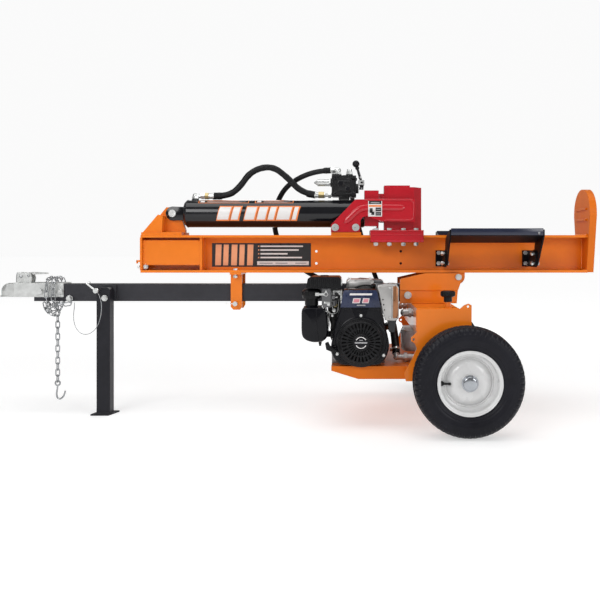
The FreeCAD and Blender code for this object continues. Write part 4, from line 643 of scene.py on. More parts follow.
# ---------------------------------------------------------------------------
# hydraulic cylinder barrel with its clevis, port boss and generic graphics
# ---------------------------------------------------------------------------
CZ, CR, CX0, CX1, CVX = 811.6, 57.0, -458.0, 283.0, -504.0
_p = Piece("barrel_detail")
_prof = [(0, 0), (44.0, 0), (48.0, 1.4), (50.0, 3.4), (52.0, 6.0), (54.6, 8.0), (56.0, 9.4), (56.9, 12.0), (56.6, 15.0), (56.9, 17.0), (57.0, 18.5), (57.0, 120), (57.0, 420), (57.0, 690.0), (57.0, 703.0), (56.2, 704.0), (56.2, 706.0), (57.0, 707.0),
         (57.0, 736.0), (56.0, 739.5), (53.5, 741.0), (30.0, 741.0), (29.0, 739.6), (24.5, 739.6), (24.0, 741.0), (22.3, 741.0), (22.3, 733.0)]
_p.add(lathe((CX0, 0, CZ), (1, 0, 0), _prof, 128), "black")
for _y0, _y1 in ((-26.0, -12.6), (12.6, 26.0)):
    _ear = arc(CVX, CZ, 29.0, 90, 270, 20) + [(-452.0, CZ - 29.0 + 2), (-452.0, CZ + 27.0)]
    _p.add(prism(_ear, "xz", _y0, _y1, r=1.2), "black")
_p.add(lathe((-416, 0, CZ + CR - 6), (0, 0, 1), [(19.5, 0), (18.5, 5.0), (16.0, 7.4), (14.0, 8.6), (14.0, 11.0), (13.0, 12.0), (0, 12.0)], 40), "black")
# weld bead round the base cap
_t = np.linspace(0, 2 * math.pi, 181)
_ring = [(CX0 + 12.5, 54.6 * math.cos(t), CZ + 54.6 * math.sin(t)) for t in _t]
_p.add(sweep(_ring, [3.0 + 0.45 * math.sin(60 * t) for t in _t], 8, caps=False), "black")
_p.done("beam", "black_paint", ["cylinder_barrel"])


def wrap_quad(p, mat, x00, x01, x10, x11, a0, a1, r, steps=14):
    """label piece on the barrel's front: x00..x01 at angle a0 (lower), x10..x11 at angle a1 (upper)"""
    verts, faces = [], []
    for i in range(steps + 1):
        k = i / steps
        a = math.radians(a0 + (a1 - a0) * k)
        y, z = -r * math.cos(a), CZ + r * math.sin(a)
        verts.append((x00 + (x10 - x00) * k, y, z))
        verts.append((x01 + (x11 - x01) * k, y, z))
    for i in range(steps):
        faces.append((2 * i, 2 * i + 1, 2 * i + 3, 2 * i + 2))
    n = len(verts)
    inner = [(x, (y) * (r - 0.35) / r, CZ + (z - CZ) * (r - 0.35) / r) for x, y, z in verts]
    faces += [tuple(n + q for q in f[::-1]) for f in faces]
    verts += inner
    for i in range(steps):
        faces.append((2 * i, 2 * i + 2, n + 2 * i + 2, n + 2 * i))
        faces.append((2 * i + 1, n + 2 * i + 1, n + 2 * i + 3, 2 * i + 3))
    faces.append((0, n, n + 1, 1))
    faces.append((2 * steps, 2 * steps + 1, n + 2 * steps + 1, n + 2 * steps))
    p.add((verts, faces), mat)


_p = Piece("barrel_graphics")
# slanted blocks in place of lettering: orange shadow, white face, on the operator's side
_x = -322.0
for _w in (52, 34, 10, 46, 40, 30, 58, 22):
    if _w > 12:
        wrap_quad(_p, "decal_orange", _x, _x + _w + 3, _x + 16, _x + _w + 19, -33, 31, 57.35)
        wrap_quad(_p, "decal_white", _x + 4, _x + _w - 2, _x + 18, _x + _w + 12, -27, 26, 57.65)
    _x += _w + 5
for _x0, _x1 in ((-397, -190), (-165, -7)):
    wrap_quad(_p, "decal_orange", _x0, _x1, _x0, _x1, 47, 70, 57.3)
    wrap_quad(_p, "decal_black", _x0 + 3, _x1 - 3, _x0 + 3, _x1 - 3, 49.4, 67.6, 57.5)
    wrap_quad(_p, "decal_white", _x0 + 9, _x0 + 26, _x0 + 9, _x0 + 26, 52, 65, 57.7)
    wrap_quad(_p, "decal_orange", _x0 + 36, _x1 - 40, _x0 + 36, _x1 - 40, 61, 65, 57.7)
    wrap_quad(_p, "decal_grey", _x0 + 36, _x1 - 14, _x0 + 36, _x1 - 14, 55, 57.5, 57.7)
    wrap_quad(_p, "decal_grey", _x0 + 36, _x1 - 26, _x0 + 36, _x1 - 26, 51, 53, 57.7)
_p.done("beam", "black_paint")

# ---------------------------------------------------------------------------
# beam: generic plate graphics, weld beads
# ---------------------------------------------------------------------------
_p = Piece("beam_plate_graphics")
_p.add(rbox(-347, 63, -5.1, -4.1, 592, 690, 0.4, 1), "decal_black")


def flat_quad(p, mat, x0, x1, z0, z1, y, slant=0.0, t=0.35):
    """thin raised print on a face that looks towards -Y"""
    p.add(prism([(x0, z0), (x1, z0), (x1 + slant, z1), (x0 + slant, z1)], "xz", y - t, y, r=0), mat)


for _i, _x in enumerate((-334, -301, -268, -235, -202)):
    flat_quad(_p, "decal_peach", _x, _x + 24 - 3 * (_i % 2), 598, 684, -5.1, 3)
for _i, _w in enumerate((176, 158, 112, 172)):
    flat_quad(_p, "decal_peach", -156, -151, 674.5 - 15.6 * _i, 679.5 - 15.6 * _i, -5.1)
    flat_quad(_p, "decal_white", -146, -146 + _w, 674 - 15.6 * _i, 680 - 15.6 * _i, -5.1)
flat_quad(_p, "decal_white", -160, 54, 599, 615, -5.1)
flat_quad(_p, "decal_grey", -150, -96, 604.5, 609, -5.5)
flat_quad(_p, "decal_grey", -84, -34, 604.5, 609, -5.5)
flat_quad(_p, "decal_grey", -2, 44, 604.5, 609, -5.5)
_p.done("beam", "orange_paint")


def bead(p, a, b, r=3.2, mat="orange", pitch=5.0):
    """rippled weld bead along a line"""
    L = smooth_line([a, b], 1.5)
    s = np.arange(len(L)) * np.linalg.norm(np.array(b, float) - np.array(a, float)) / (len(L) - 1)
    rr = r * (1.0 + 0.13 * np.sin(2 * math.pi * s / pitch))
    rr[0] = rr[-1] = 0.55 * r
    p.add(sweep(L, rr, 8), mat)


_p = Piece("beam_weld_beads")
for _s in (-1, 1):
    bead(_p, (-620, _s * 66.5, 722.6), (-460, _s * 66.5, 722.6), 3.4)
    bead(_p, (-612, _s * 13.5, 734.5), (-462, _s * 13.5, 734.5), 3.2)
    bead(_p, (-617, _s * 60, 581), (-617, _s * 60, 601), 2.6)
    bead(_p, (1184.5, _s * 5.0, 582), (1184.5, _s * 5.0, 710), 3.4)
    bead(_p, (1183.5, _s * 4, 723.4), (1183.5, _s * 70, 723.4), 4.0)
    bead(_p, (1183.5, _s * 5, 581), (1183.5, _s * 60, 581), 3.4)
    bead(_p, (150, _s * 72.6, 722.4), (268, _s * 72.6, 722.4), 2.6)
    bead(_p, (-376, _s * 5.0, 582), (-376, _s * 5.0, 710), 2.8)
    bead(_p, (634, _s * 61.5, 569), (688, _s * 61.5, 569), 3.0)
    bead(_p, (-612, _s * 58.2, 602), (-390, _s * 58.2, 602), 2.0)
    bead(_p, (-612, _s * 58.2, 700), (-390, _s * 58.2, 700), 2.0)
_p.done("beam", "orange_paint")

# flat black discs in the web holes: painted shade
_p = Piece("web_hole_shade_discs")
for _z in (656.0, 606.0):
    _p.add(lathe((435.0, 4.2, _z), (0, 1, 0), [(0, 0), (9.0, 0), (9.0, 3.0), (7.5, 4.0), (0, 4.0)], 28), "dark")
_p.done("beam", "black_plastic")

# slabs over the cradle trays' outer lips carry the painted lit colour
_p = Piece("cradle_lips")
for _s in (-1, 1):
    _y0, _y1 = sorted((_s * 223.5, _s * 229.0))
    _p.add(rbox(611.5, 965.5, _y0, _y1, 719.0, 746.0, 2.2, 3), "cradle_lip")
    _p.add(hexagon((948, _s * 229.0, 727), (0, _s, 0), 9, 3.0), "zinc_chain")
_p.done("beam", "black_paint")

_p = Piece("end_clip")
_p.add(rbox(-641, -624, -70, -58, 613, 621, 1.5), "orange")
_p.add(rbox(-641, -636, -70, -58, 607, 620, 1.5), "orange")
_p.add(rbox(-636, -626, -69, -60, 588, 599, 1.5), "zinc")
_p.add(rbox(-641, -627, -7, 7, 585, 604, 1.5), "zinc")
_p.add(hexagon((-606, -58.0, 594), (0, -1, 0), 15, 6), "zinc")
_p.add(lathe((-606, -57.9, 594), (0, -1, 0), [(5.6, 0), (10.5, 0.1), (10.5, 1.4), (5.6, 1.4)], 28, closed=True), "zinc")
_p.done("beam", "zinc")

# ---------------------------------------------------------------------------
# stripper plates: pressed ribs, label
# ---------------------------------------------------------------------------
_p = Piece("stripper_ribs")
for _s in (-1, 1):
    _l = smooth_line([(203, _s * 79.0, 771), (267, _s * 79.0, 832), (445, _s * 79.0, 832)], 3.0, 60)
    _rr = np.ones(len(_l))
    _k = min(8, len(_l) // 3)
    for _i in range(_k):
        _q = math.sqrt(max(0.02, 1 - (1 - (_i + 1) / _k) ** 2))
        _rr[_i] = _rr[-1 - _i] = _q
    _p.add(sweep(_l, _rr * 1.0, 20, flat=(14.0, 6.6), up=(0, _s, 0)), "red")
    _l = smooth_line([(160, _s * 79.5, 747.5), (250, _s * 79.5, 747.5)], 3.0)
    # folded foot fillet
    _p.add(sweep([(152, _s * 71.5, 744), (200, _s * 71.5, 744), (260, _s * 71.5, 744)], 3.0, 12), "red")
for _s in (-1, 1):
    _l = smooth_line([(284, _s * 79.0, 864), (476, _s * 79.0, 864), (480, _s * 79.0, 860), (480, _s * 79.0, 786), (476, _s * 79.0, 782), (366, _s * 79.0, 782)], 2.0, 20)
    _rr = np.ones(len(_l))
    for _i in range(5):
        _q = math.sqrt(max(0.02, 1 - (1 - (_i + 1) / 5) ** 2))
        _rr[_i] = _rr[-1 - _i] = _q
    _p.add(sweep(_l, _rr, 16, flat=(4.6, 3.6), up=(0, _s, 0)), "red")
_p.done("beam", "red_paint")

_p = Piece("stripper_label")


def rib_y(z):
    k = (z - 832.0) / 14.6
    return 80.35 + (5.6 * math.sqrt(1 - k * k) if abs(k) < 1 else 0.0)


def label_patch(p, mat, x0, x1, z0, z1, lift, s):
    n = 26
    v, f = [], []
    for i in range(n + 1):
        z = z0 + (z1 - z0) * i / n
        for x in (x0, x1):
            for o in (0.0, -0.3):
                v.append((x, s * (rib_y(z) + lift + o), z))
    for i in range(n):
        a, b = 4 * i, 4 * (i + 1)
        f += [(a, a + 2, b + 2, b), (a + 1, b + 1, b + 3, a + 3), (a, b, b + 1, a + 1), (a + 2, a + 3, b + 3, b + 2)]
    f += [(0, 1, 3, 2), (4 * n, 4 * n + 2, 4 * n + 3, 4 * n + 1)]
    p.add((v, f), mat)


for _s in (-1, 1):
    label_patch(_p, "decal_white", 298, 354, 797, 863, 0.0, _s)
    label_patch(_p, "decal_black", 301, 351, 846, 860, 0.3, _s)
    label_patch(_p, "decal_grey", 308, 344, 851, 855, 0.6, _s)
    label_patch(_p, "decal_orange", 301, 351, 836, 843, 0.3, _s)
    label_patch(_p, "decal_black", 304, 316, 812, 830, 0.3, _s)
    label_patch(_p, "decal_black", 311, 323, 803, 816, 0.3, _s)
    label_patch(_p, "decal_black", 328, 350, 818, 833, 0.3, _s)
    label_patch(_p, "decal_black", 328, 350, 801, 815, 0.3, _s)
    label_patch(_p, "decal_grey", 331, 347, 824, 827, 0.6, _s)
    label_patch(_p, "decal_grey", 331, 347, 806, 809, 0.6, _s)
_p.done("beam", "red_paint")

# ---------------------------------------------------------------------------
# control valve castings, lever knob
# ---------------------------------------------------------------------------
_p = Piece("valve_cast_detail")
for _x in (164, 238):
    for _z in (892, 956):
        _p.add(lathe((_x, -31.6, _z), (0, -1, 0), [(9.5, -1.5), (9.5, 0.6), (8.6, 1.4), (0, 1.4)], 32), "iron")
        _p.add(lathe((_x, -32.4, _z), (0, -1, 0), [(0, 0), (5.4, 0), (5.4, 5.2), (4.6, 6.0), (2.8, 6.0), (2.8, 3.4), (0, 3.4)], 30), "black")
_p.add(rbox(176, 226, -36.0, -31.0, 900, 948, 3.0, 3), "iron")
_p.add(sweep(smooth_line([(154, -28.5, 882), (248, -28.5, 882)], 4), 2.2, 10), "iron")
for _z in (906, 926, 942):
    _p.add(sweep(smooth_line([(180, -36.0, _z), (222, -36.0, _z)], 4, 0), 1.6, 10), "iron")
for _s in (-1, 1):
    _p.add(sweep(smooth_line([(151.5, _s * 26.5, 884), (151.5, _s * 26.5, 964)], 4), 2.4, 10), "iron")
_p.add(lathe((201, 0, 967), (0, 0, 1), [(9, 0), (9, 3.5), (8, 4.5), (0, 4.5)], 30), "iron")
_p.add(hexagon((186, -36, 934), (0, -1, 0), 20, 8), "black")
_p.add(lathe((186, -35, 934), (0, -1, 0), [(14, 0), (14, 2.5), (12.5, 3.4), (0, 3.4)], 32), "iron")
_p.add(hexagon((216, -36, 912), (0, -1, 0), 17, 7), "black")
_p.add(lathe((216, -35, 912), (0, -1, 0), [(12, 0), (12, 2.5), (10.5, 3.4), (0, 3.4)], 32), "iron")
_p.add(rbox(150, 180, -34.5, -28, 962, 974, 2.5, 3), "iron")
_p.add(rbox(212, 254, -33.0, -24, 946, 958, 2.5, 3), "iron")
_p.add(rbox(205, 250, -35.5, -28, 888, 898, 2.5, 3), "iron")
_p.add(hexagon((94, 0, 889.6), (1, 0, 0), 26, 24), "brass")
_p.add(hexagon((-376, 0, 885), (1, 0, 0), 26, 16), "brass")
_p.done("beam", "black_iron")

_p = Piece("lever_knob")
_c = (273.0 - 0.30 * 82 / 1.044, 0.0, 940.0 + 82 / 1.044)
_p.add(sphere(_c, 14.9, 40, 22), "plastic_gloss")
_d = unit((-0.30, 0, 1.0))
_o = np.array((273.0, 0, 940.0))
_p.add(lathe(_o + _d * 58, _d, [(5.9, 0), (8.2, 1.5), (8.6, 9.0), (6.0, 12.0)], 28), "plastic_gloss")
_p.add(lathe(_o + _d * 18, _d, [(5.9, 0), (7.6, 0.5), (7.6, 8.0), (5.9, 9.0)], 6), "zinc")
_p.done("lever", "lever_black")

# ---------------------------------------------------------------------------
# ram: weld beads
# ---------------------------------------------------------------------------
_p = Piece("wedge_welds")
for _s in (-1, 1):
    bead(_p, (380, _s * 39.0, 742.5), (486, _s * 39.0, 742.5), 3.4, "red")
    bead(_p, (342.6, _s * 26.8, 800), (342.6, _s * 26.8, 892), 2.6, "red")
    bead(_p, (364.2, _s * 26.8, 800), (364.2, _s * 26.8, 892), 2.2, "red")
bead(_p, (336, -25, 742.6), (336, 25, 742.6), 2.4, "red")
_p.done("ram", "red_paint")

# ---------------------------------------------------------------------------
# chassis welds, tank details
# ---------------------------------------------------------------------------
_p = Piece("slide_edges")
for _s in (-1, 1):
    for _z, _r in ((738.6, 3.0), (722.6, 2.0), (696.2, 3.2)):
        _p.add(sweep(smooth_line([(309.5, _s * 91.6, _z), (518.5, _s * 91.6, _z)], 6), _r, 14), "red")
_p.done("ram", "red_paint")

_p = Piece("coupler_detail")
for _s in (-1, 1):
    for _x, _z, _r in ((-1130, 552, 5.6), (-1100, 555, 4.6), (-1135, 505, 4.8)):
        _y = 23.0 if _z == 552 else (22.0 if _z == 555 else 37.5)
        _p.add(lathe((_x, _s * _y, _z), (0, _s, 0), [(0, 0), (_r, 0), (_r, 1.6), (_r * 0.6, 2.8), (0, 3.0)], 24), "zinc_chain")
for _x in (-1150 + 0.0,):
    _p.add(sweep(smooth_line([(_x, -20.4, 530), (_x, -20.4, 558), (_x + 4, -20.4, 568)], 3, 6), 1.1, 8), "zinc_chain")
_p.done("chassis", "zinc")

_p = Piece("chassis_weld_beads")
for _s in (-1, 1):
    bead(_p, (473, _s * 334.4, 447.4), (626, _s * 334.4, 447.4), 2.8)
    bead(_p, (470.6, _s * 334.0, 365), (470.6, _s * 334.0, 445), 2.8)
    bead(_p, (628.4, _s * 334.0, 354), (628.4, _s * 334.0, 446), 2.8)
    bead(_p, (473, _s * 334.4, 351.6), (626, _s * 334.4, 351.6), 2.8)
    bead(_p, (435.5, _s * 36, 521), (435.5, _s * 79, 521), 2.4)
    bead(_p, (430, _s * 84.5, 500), (652, _s * 84.5, 500), 2.6)
    bead(_p, (430, _s * 84.0, 449.5), (650, _s * 84.0, 449.5), 2.4)
    bead(_p, (620, _s * 334.0, 223.8), (670, _s * 334.0, 223.8), 3.0)
    bead(_p, (619.5, _s * 334.0, 176), (619.5, _s * 334.0, 221), 3.0)
    bead(_p, (560, _s * 300.5, 231.4), (584, _s * 300.5, 231.4), 2.4)
bead(_p, (471.5, -90, 447.5), (471.5, 90, 447.5), 2.4)
_p.done("chassis", "orange_paint")

_p = Piece("drawbar_weld_beads")
for _s in (-1, 1):
    bead(_p, (-798, _s * 35.6, 519), (-732, _s * 35.6, 519), 2.4, "charcoal")
bead(_p, (-800, -36.2, 457), (-800, -36.2, 517), 2.4, "charcoal")
bead(_p, (-730, -36.2, 457), (-730, -36.2, 517), 2.4, "charcoal")
_p.done("chassis", "charcoal_paint")

_p = Piece("stand_foot_bead")
bead(_p, (-789, -96.6, 7.4), (-741, -96.6, 7.4), 2.2, "charcoal")
bead(_p, (-792.4, -94, 7.4), (-792.4, -52, 7.4), 2.0, "charcoal")
_p.done("stand", "charcoal_paint")

# canister body and its bands over the plain filter
_p = Piece("filter_canister")
_can = catmull([(0, 0), (30, 0.4), (41, 2.0), (45.2, 6.0), (46.4, 12.0), (46.6, 40.0), (46.6, 68.0), (45.6, 73.0), (43.0, 75.0)], 5)
_p.add(lathe((478, -60, 261.5), (0, 0, 1), [(max(0.0, a), b) for a, b in _can], 72), "canister")
for _h in (14, 66):
    _p.add(lathe((478, -60, 261.5), (0, 0, 1), [(46.5, _h - 1.2), (47.2, _h), (46.5, _h + 1.2)], 72), "canister")
_p.done("chassis", "zinc")

# breather cap knurls
_p = Piece("breather_cap_detail")
for _i in range(24):
    _a = 2 * math.pi * _i / 24
    _ca, _sa = math.cos(_a), math.sin(_a)
    _p.add(sweep([(591 + 26 * _ca, -290 + 26 * _sa, 493.5), (591 + 26 * _ca, -290 + 26 * _sa, 500), (591 + 26 * _ca, -290 + 26 * _sa, 507)], 1.5, 8), "plastic")
_p.add(lathe((591, -290, 510), (0, 0, 1), [(21, 0), (20, 1.0), (8, 1.6), (0, 1.6)], 40), "plastic")
_p.done("tank_cap", "black_plastic")

_p = Piece("fuel_cap_detail")
for _i in range(30):
    _a = 2 * math.pi * _i / 30
    _ca, _sa = math.cos(_a), math.sin(_a)
    _p.add(sweep([(80 + 35.8 * _ca, -255 + 35.8 * _sa, 494.5), (80 + 35.8 * _ca, -255 + 35.8 * _sa, 500), (80 + 35.8 * _ca, -255 + 35.8 * _sa, 506)], 1.7, 8), "plastic")
_p.add(lathe((80, -255, 514.6), (0, 0, 1), [(25, 0), (24, 1.2), (14, 1.6), (12, 0.6), (0, 0.6)], 40), "plastic")
_p.done("fuel_cap_body", "black_plastic")

# ---------------------------------------------------------------------------
# engine dress
# ---------------------------------------------------------------------------
EX, EZ = 266.0, 324.0
_p = Piece("recoil_cover")
_p.add(lathe((EX, -323.0, EZ), (0, -1, 0), [(80, -4.5), (88, -4.5), (88.0, 0.5), (86.5, 2.0), (83.0, 2.4), (82.0, 4.0), (81.4, 10.0), (79.5, 11.6), (77.5, 12.0), (76.6, 17.5), (75.0, 19.0), (71.5, 19.0), (70.5, 17.5), (70.5, 12.5), (70.0, 8.0)], 120), "plastic")
# flat black disc behind the ribs: painted shade seen through the cover's openings
_p.add(lathe((EX, -323.0, EZ), (0, -1, 0), [(70.5, 7.0), (70.5, 8.0), (0, 8.0), (0, 7.0)], 96), "dark")
_p.add(lathe((EX, -323.0, EZ), (0, -1, 0), [(0, 7.6), (31, 7.6), (31, 18.0), (29.5, 19.3), (27.0, 19.3), (0, 19.0)], 80), "plastic")
for _i in range(30):
    _a = math.radians(12 * _i + 6)
    _ca, _sa = math.cos(_a), math.sin(_a)
    _w0, _w1 = 1.7, 3.9
    _p.add(prism([(EX + r * _ca - t * _sa, EZ + r * _sa + t * _ca) for r, t in ((30, -_w0), (71.2, -_w1), (71.2, _w1), (30, _w0))], "xz", -341.2 + 0.0, -331.0, r=0.5, seg=1), "plastic")
_p.add(lathe((EX, -323.0, EZ), (0, -1, 0), [(48.5, 15.0), (48.5, 17.6), (51.0, 18.0), (53.5, 17.6), (53.5, 15.0)], 96), "plastic")
_p.done("chassis", "black_plastic", ["starter_cover"])

def inset(points, d):
    """outline moved inward by d along averaged edge normals"""
    P = np.array(points, float)
    area2 = sum(P[i - 1][0] * P[i][1] - P[i][0] * P[i - 1][1] for i in range(len(P)))
    E = np.roll(P, -1, axis=0) - P
    E /= np.linalg.norm(E, axis=1)[:, None]
    Nn = np.stack([-E[:, 1], E[:, 0]], 1) * (1 if area2 > 0 else -1)
    A = Nn + np.roll(Nn, 1, axis=0)
    A /= np.linalg.norm(A, axis=1)[:, None]
    k = 1.0 / np.maximum(0.9, np.sum(A * Nn, axis=1))
    return P + A * (d * k)[:, None]


def closed_catmull(points, k=6):
    P = [np.array(q, float) for q in points]
    n, out = len(P), []
    for i in range(n):
        p0, p1, p2, p3 = P[i - 1], P[i], P[(i + 1) % n], P[(i + 2) % n]
        for j in range(k):
            q = j / k
            out.append(0.5 * ((2 * p1) + (-p0 + p2) * q + (2 * p0 - 5 * p1 + 4 * p2 - p3) * q * q + (-p0 + 3 * p1 - 3 * p2 + p3) * q ** 3))
    return out


def shell(outline, rows, inner):
    """open-backed moulding: rows and inner are [(inset, y)] from the back rim to the middle of the face"""
    verts, faces, n = [], [], len(outline)
    rings = [[(q[0], y, q[1]) for q in inset(outline, d)] for d, y in rows]
    rings_in = [[(q[0], y, q[1]) for q in inset(outline, d)] for d, y in inner]
    allr = rings_in[::-1] + rings
    for r in allr:
        verts += r
    for i in range(len(allr) - 1):
        for k in range(n):
            j = (k + 1) % n
            faces.append((i * n + k, i * n + j, (i + 1) * n + j, (i + 1) * n + k))
    for base in (0, (len(allr) - 1) * n):
        y = verts[base][1]
        c = len(verts)
        verts.append((float(np.mean([q[0] for q in outline])), y, float(np.mean([q[1] for q in outline]))))
        for k in range(n):
            faces.append((base + k, base + (k + 1) % n, c))
    return verts, faces


_out = [(211, 518.5), (266, 518.5), (314, 518.5), (324, 511), (333, 480), (340, 448), (354, 390), (366, 345), (371.5, 312), (369, 290), (361, 268), (347, 247), (326, 236.4), (266, 234.5), (202, 236.4), (180, 245), (165, 262),
        (155, 285), (155.5, 315), (163, 345), (170, 386), (188, 448), (196, 482), (201, 511)]
_out = closed_catmull(_out, 5)
_p = Piece("blower_shroud")
_p.add(shell(_out, [(0, -231), (0, -236), (0, -300), (0.5, -307), (1.5, -312), (3.2, -315.8), (5.2, -317.5), (7.0, -318.0)],
             [(3.5, -231), (3.5, -300), (4.4, -309), (6.0, -313), (7.0, -314)]), "plastic_gloss")
_p.add(lathe((EX, -314.0, EZ), (0, -1, 0), [(84, 0), (84, 5.5), (90.5, 5.5), (93, 4.6), (94, 3.8), (94, 0)], 128, closed=True), "plastic_gloss")
_p.done("chassis", "black_plastic", ["blower_housing"], angle=30)

_p = Piece("engine_dress")
# centre badge with generic arcs
_p.add(lathe((EX, -341.5, EZ), (0, -1, 0), [(0, 0), (25, 0), (26, 1.0), (26, 2.2), (24.5, 3.0), (0, 3.0)], 56), "plastic_gloss")
for _a0, _a1 in ((28, 152), (208, 332)):
    _o = arc(EX, EZ, 21.5, _a0, _a1, 22) + arc(EX, EZ, 18.6, _a1, _a0, 22)
    _p.add(prism(_o, "xz", -345.0, -344.3, r=0), "decal_white")
_p.add(rbox(EX - 23, EX + 23, -345.0, -344.3, EZ - 2.6, EZ + 2.6, 0.2, 1), "decal_grey")
_p.add(rbox(EX - 7, EX + 7, -345.0, -344.3, EZ + 8, EZ + 10.5, 0.2, 1), "decal_grey")
# ring of stand-off ribs round the recoil cover
for _i in range(60):
    _a = 2 * math.pi * _i / 60
    _ca, _sa = math.cos(_a), math.sin(_a)
    _p.add(prism([(EX + r * _ca - t * _sa, EZ + r * _sa + t * _ca) for r, t in ((73.5, -0.8), (80.8, -0.8), (80.8, 0.8), (73.5, 0.8))], "xz", -337.0, -333.0, r=0), "plastic")
# cooling louvres of the housing, all round except behind the badge
_edge = np.array(_out)
for _i in range(60):
    _deg = 136 + 4.53 * _i
    _a = math.radians(_deg)
    _ca, _sa = math.cos(_a), math.sin(_a)
    _rel = _edge - np.array((EX, EZ))
    _cross = np.abs(_rel[:, 0] * _sa - _rel[:, 1] * _ca)
    _along = _rel[:, 0] * _ca + _rel[:, 1] * _sa
    _cross[_along < 0] = 1e9
    _r1 = min(112.0, float(_along[int(np.argmin(_cross))]) - 6.0)
    if _r1 > 97:
        _p.add(prism([(EX + r * _ca - t * _sa, EZ + r * _sa + t * _ca) for r, t in ((94.0, -1.3), (_r1, -1.5), (_r1, 1.5), (94.0, 1.3))], "xz", -321.2, -316.5, r=0.4, seg=1), "plastic_gloss")
# cover and housing screws
for _x, _z in ((266.0, 421.0), (178.5, 280.0), (349.5, 275.0)):
    _p.add(lathe((_x, -316.0, _z), (0, -1, 0), [(11, 0), (11, 5.5), (10, 6.5), (0, 6.5)], 28), "plastic_gloss")
    _p.add(hexagon((_x, -322.4, _z), (0, -1, 0), 11, 4.5), "zinc")
# front badge area of the housing
_p.add(prism([(189.5, 451), (339, 451), (325.5, 510), (321, 514), (206, 514), (201.5, 510)], "xz", -319.4, -317.4, r=0.5, seg=2), "decal_navy")
flat_quad(_p, "decal_white", 224, 306, 496, 503, -319.4, 1.5)
_p.add(prism([(234, 467), (261, 467), (265, 485), (238, 485)], "xz", -319.8, -319.3, r=0), "decal_white")
_p.add(prism([(237.5, 469.5), (259, 469.5), (261.6, 482.5), (241, 482.5)], "xz", -320.2, -319.7, r=0), "decal_rose")
_p.add(prism([(270, 467), (294, 467), (298, 485), (274, 485)], "xz", -319.8, -319.3, r=0), "decal_white")
_p.add(prism([(273.5, 469.5), (292, 469.5), (294.6, 482.5), (276, 482.5)], "xz", -320.2, -319.7, r=0), "decal_rose")
flat_quad(_p, "decal_grey", 250, 282, 457, 461, -319.4, 1)
# housing pressing lines
_p.add(sweep(smooth_line([(188, -317.6, 443), (262, -317.6, 436), (340, -317.6, 443)], 4, 20), 1.8, 10), "plastic_gloss")
# spark plug, boot and lead stub
_p.add(lathe((316, -211, 524), (0, -1, 0.1), [(7, 0), (7, 6), (11, 6.5), (11, 12), (6, 13), (5, 20), (0, 20)], 24), "zinc")
_p.add(lathe((316, -222, 525), (-0.25, -1, 0.05), [(0, 0), (9.5, 0), (10.5, 3), (9.0, 16), (8.0, 24), (5.0, 28), (0, 28)], 28), "hose")
_p.add(sweep(smooth_line([(311, -242, 526), (296, -246, 529), (270, -244, 528), (244, -238, 520), (236, -234, 512)], 3, 25), 3.4, 12), "hose")
# governor / choke pieces over the carburettor
_p.add(rbox(150, 196, -250, -236, 506, 512, 1.0), "zinc")
_p.add(lathe((188, -258, 500), (0, -1, 0), [(0, 0), (7, 0), (7, 4), (0, 4)], 24), "zinc")
_p.add(sweep(smooth_line([(188, -262, 500), (165, -264, 508), (140, -262, 505)], 3, 10), 1.4, 8), "zinc")
_p.done("chassis", "black_plastic")

_p = Piece("head_dress")
# rocker cover, bolts, exhaust flange
_p.add(prism([(211, 503), (317, 503), (317, 545), (311, 550), (219, 550), (211, 543)], "xz", -214, -112, r=4.0, seg=3), "shield")
_p.add(prism([(218, 510), (310, 510), (310, 538), (304, 543), (226, 543), (218, 537)], "xz", -216.5, -213, r=1.4, seg=2), "shield")
_p.add(prism([(256, 540), (352, 533), (354, 543), (348, 546), (262, 552), (256, 548)], "xz", -204, -98, r=3.0, seg=3), "alu_dark")
for _x, _y in ((224, -198), (304, -198), (224, -128), (304, -128)):
    _p.add(hexagon((_x, _y, 548.5), (0, 0, 1), 12, 4), "zinc")
_p.add(rbox(356.5, 366, -224, -176, 436, 484, 3.0), "alu")
# dipstick tube and drain plug
_p.add(lathe((190, -226, 262), (-0.35, -0.5, 0.8), [(0, 0), (11, 0), (11, 14), (15, 15), (15, 25), (12, 28), (0, 28)], 28), "plastic")
_p.add(hexagon((190, -226, 244), (0, -1, 0), 15, 7), "zinc")
_p.done("chassis", "cast_aluminium")

_p = Piece("governor_linkage")
for _b in ((160, 197, 503, 511), (189, 197, 472, 511), (160, 167, 482, 511), (160, 180, 482, 488)):
    _p.add(rbox(_b[0], _b[1], -263.6, -261.2, _b[2], _b[3], 0.7), "zinc")
_p.add(sweep(smooth_line([(184, -262, 476), (181, -262, 442), (177, -262, 426), (160, -263, 421), (146, -264, 424), (143, -264, 434)], 2, 12), 2.0, 10), "zinc")
_h = [(147.5 + 3.2 * math.cos(_k * 0.55), -264 + 3.2 * math.sin(_k * 0.55), 420 - 0.42 * _k) for _k in range(104)]
_p.add(sweep(_h, 0.85, 8), "zinc")
_p.add(sweep([(147.5, -264, 426), (147.5, -264, 418)], 0.9, 8), "zinc")
_p.add(sweep([(149, -264, 378), (150, -264, 370), (152, -264, 366)], 0.9, 8), "zinc")
for _x, _z in ((164, 507), (193, 507), (193, 480)):
    _p.add(hexagon((_x, -263.4, _z), (0, -1, 0), 6.5, 3.0, 0.6), "zinc")
_p.add(sweep(smooth_line([(158, -278, 506), (156, -279, 478), (158, -279, 450), (166, -274, 436)], 2, 10), 1.5, 8), "zinc")
_p.add(lathe((166, -268, 436), (0, -1, 0), [(0, 0), (7, 0), (7, 5), (3, 6), (3, 10), (0, 10)], 20), "zinc")
_p.add(lathe((170, -262, 456), (0, -1, 0), [(0, 0), (9.5, 0), (9.5, 8), (7, 10), (0, 10)], 6), "brass")
_p.add(rbox(128, 150, -294.5, -292.0, 455, 470, 0.8), "zinc")
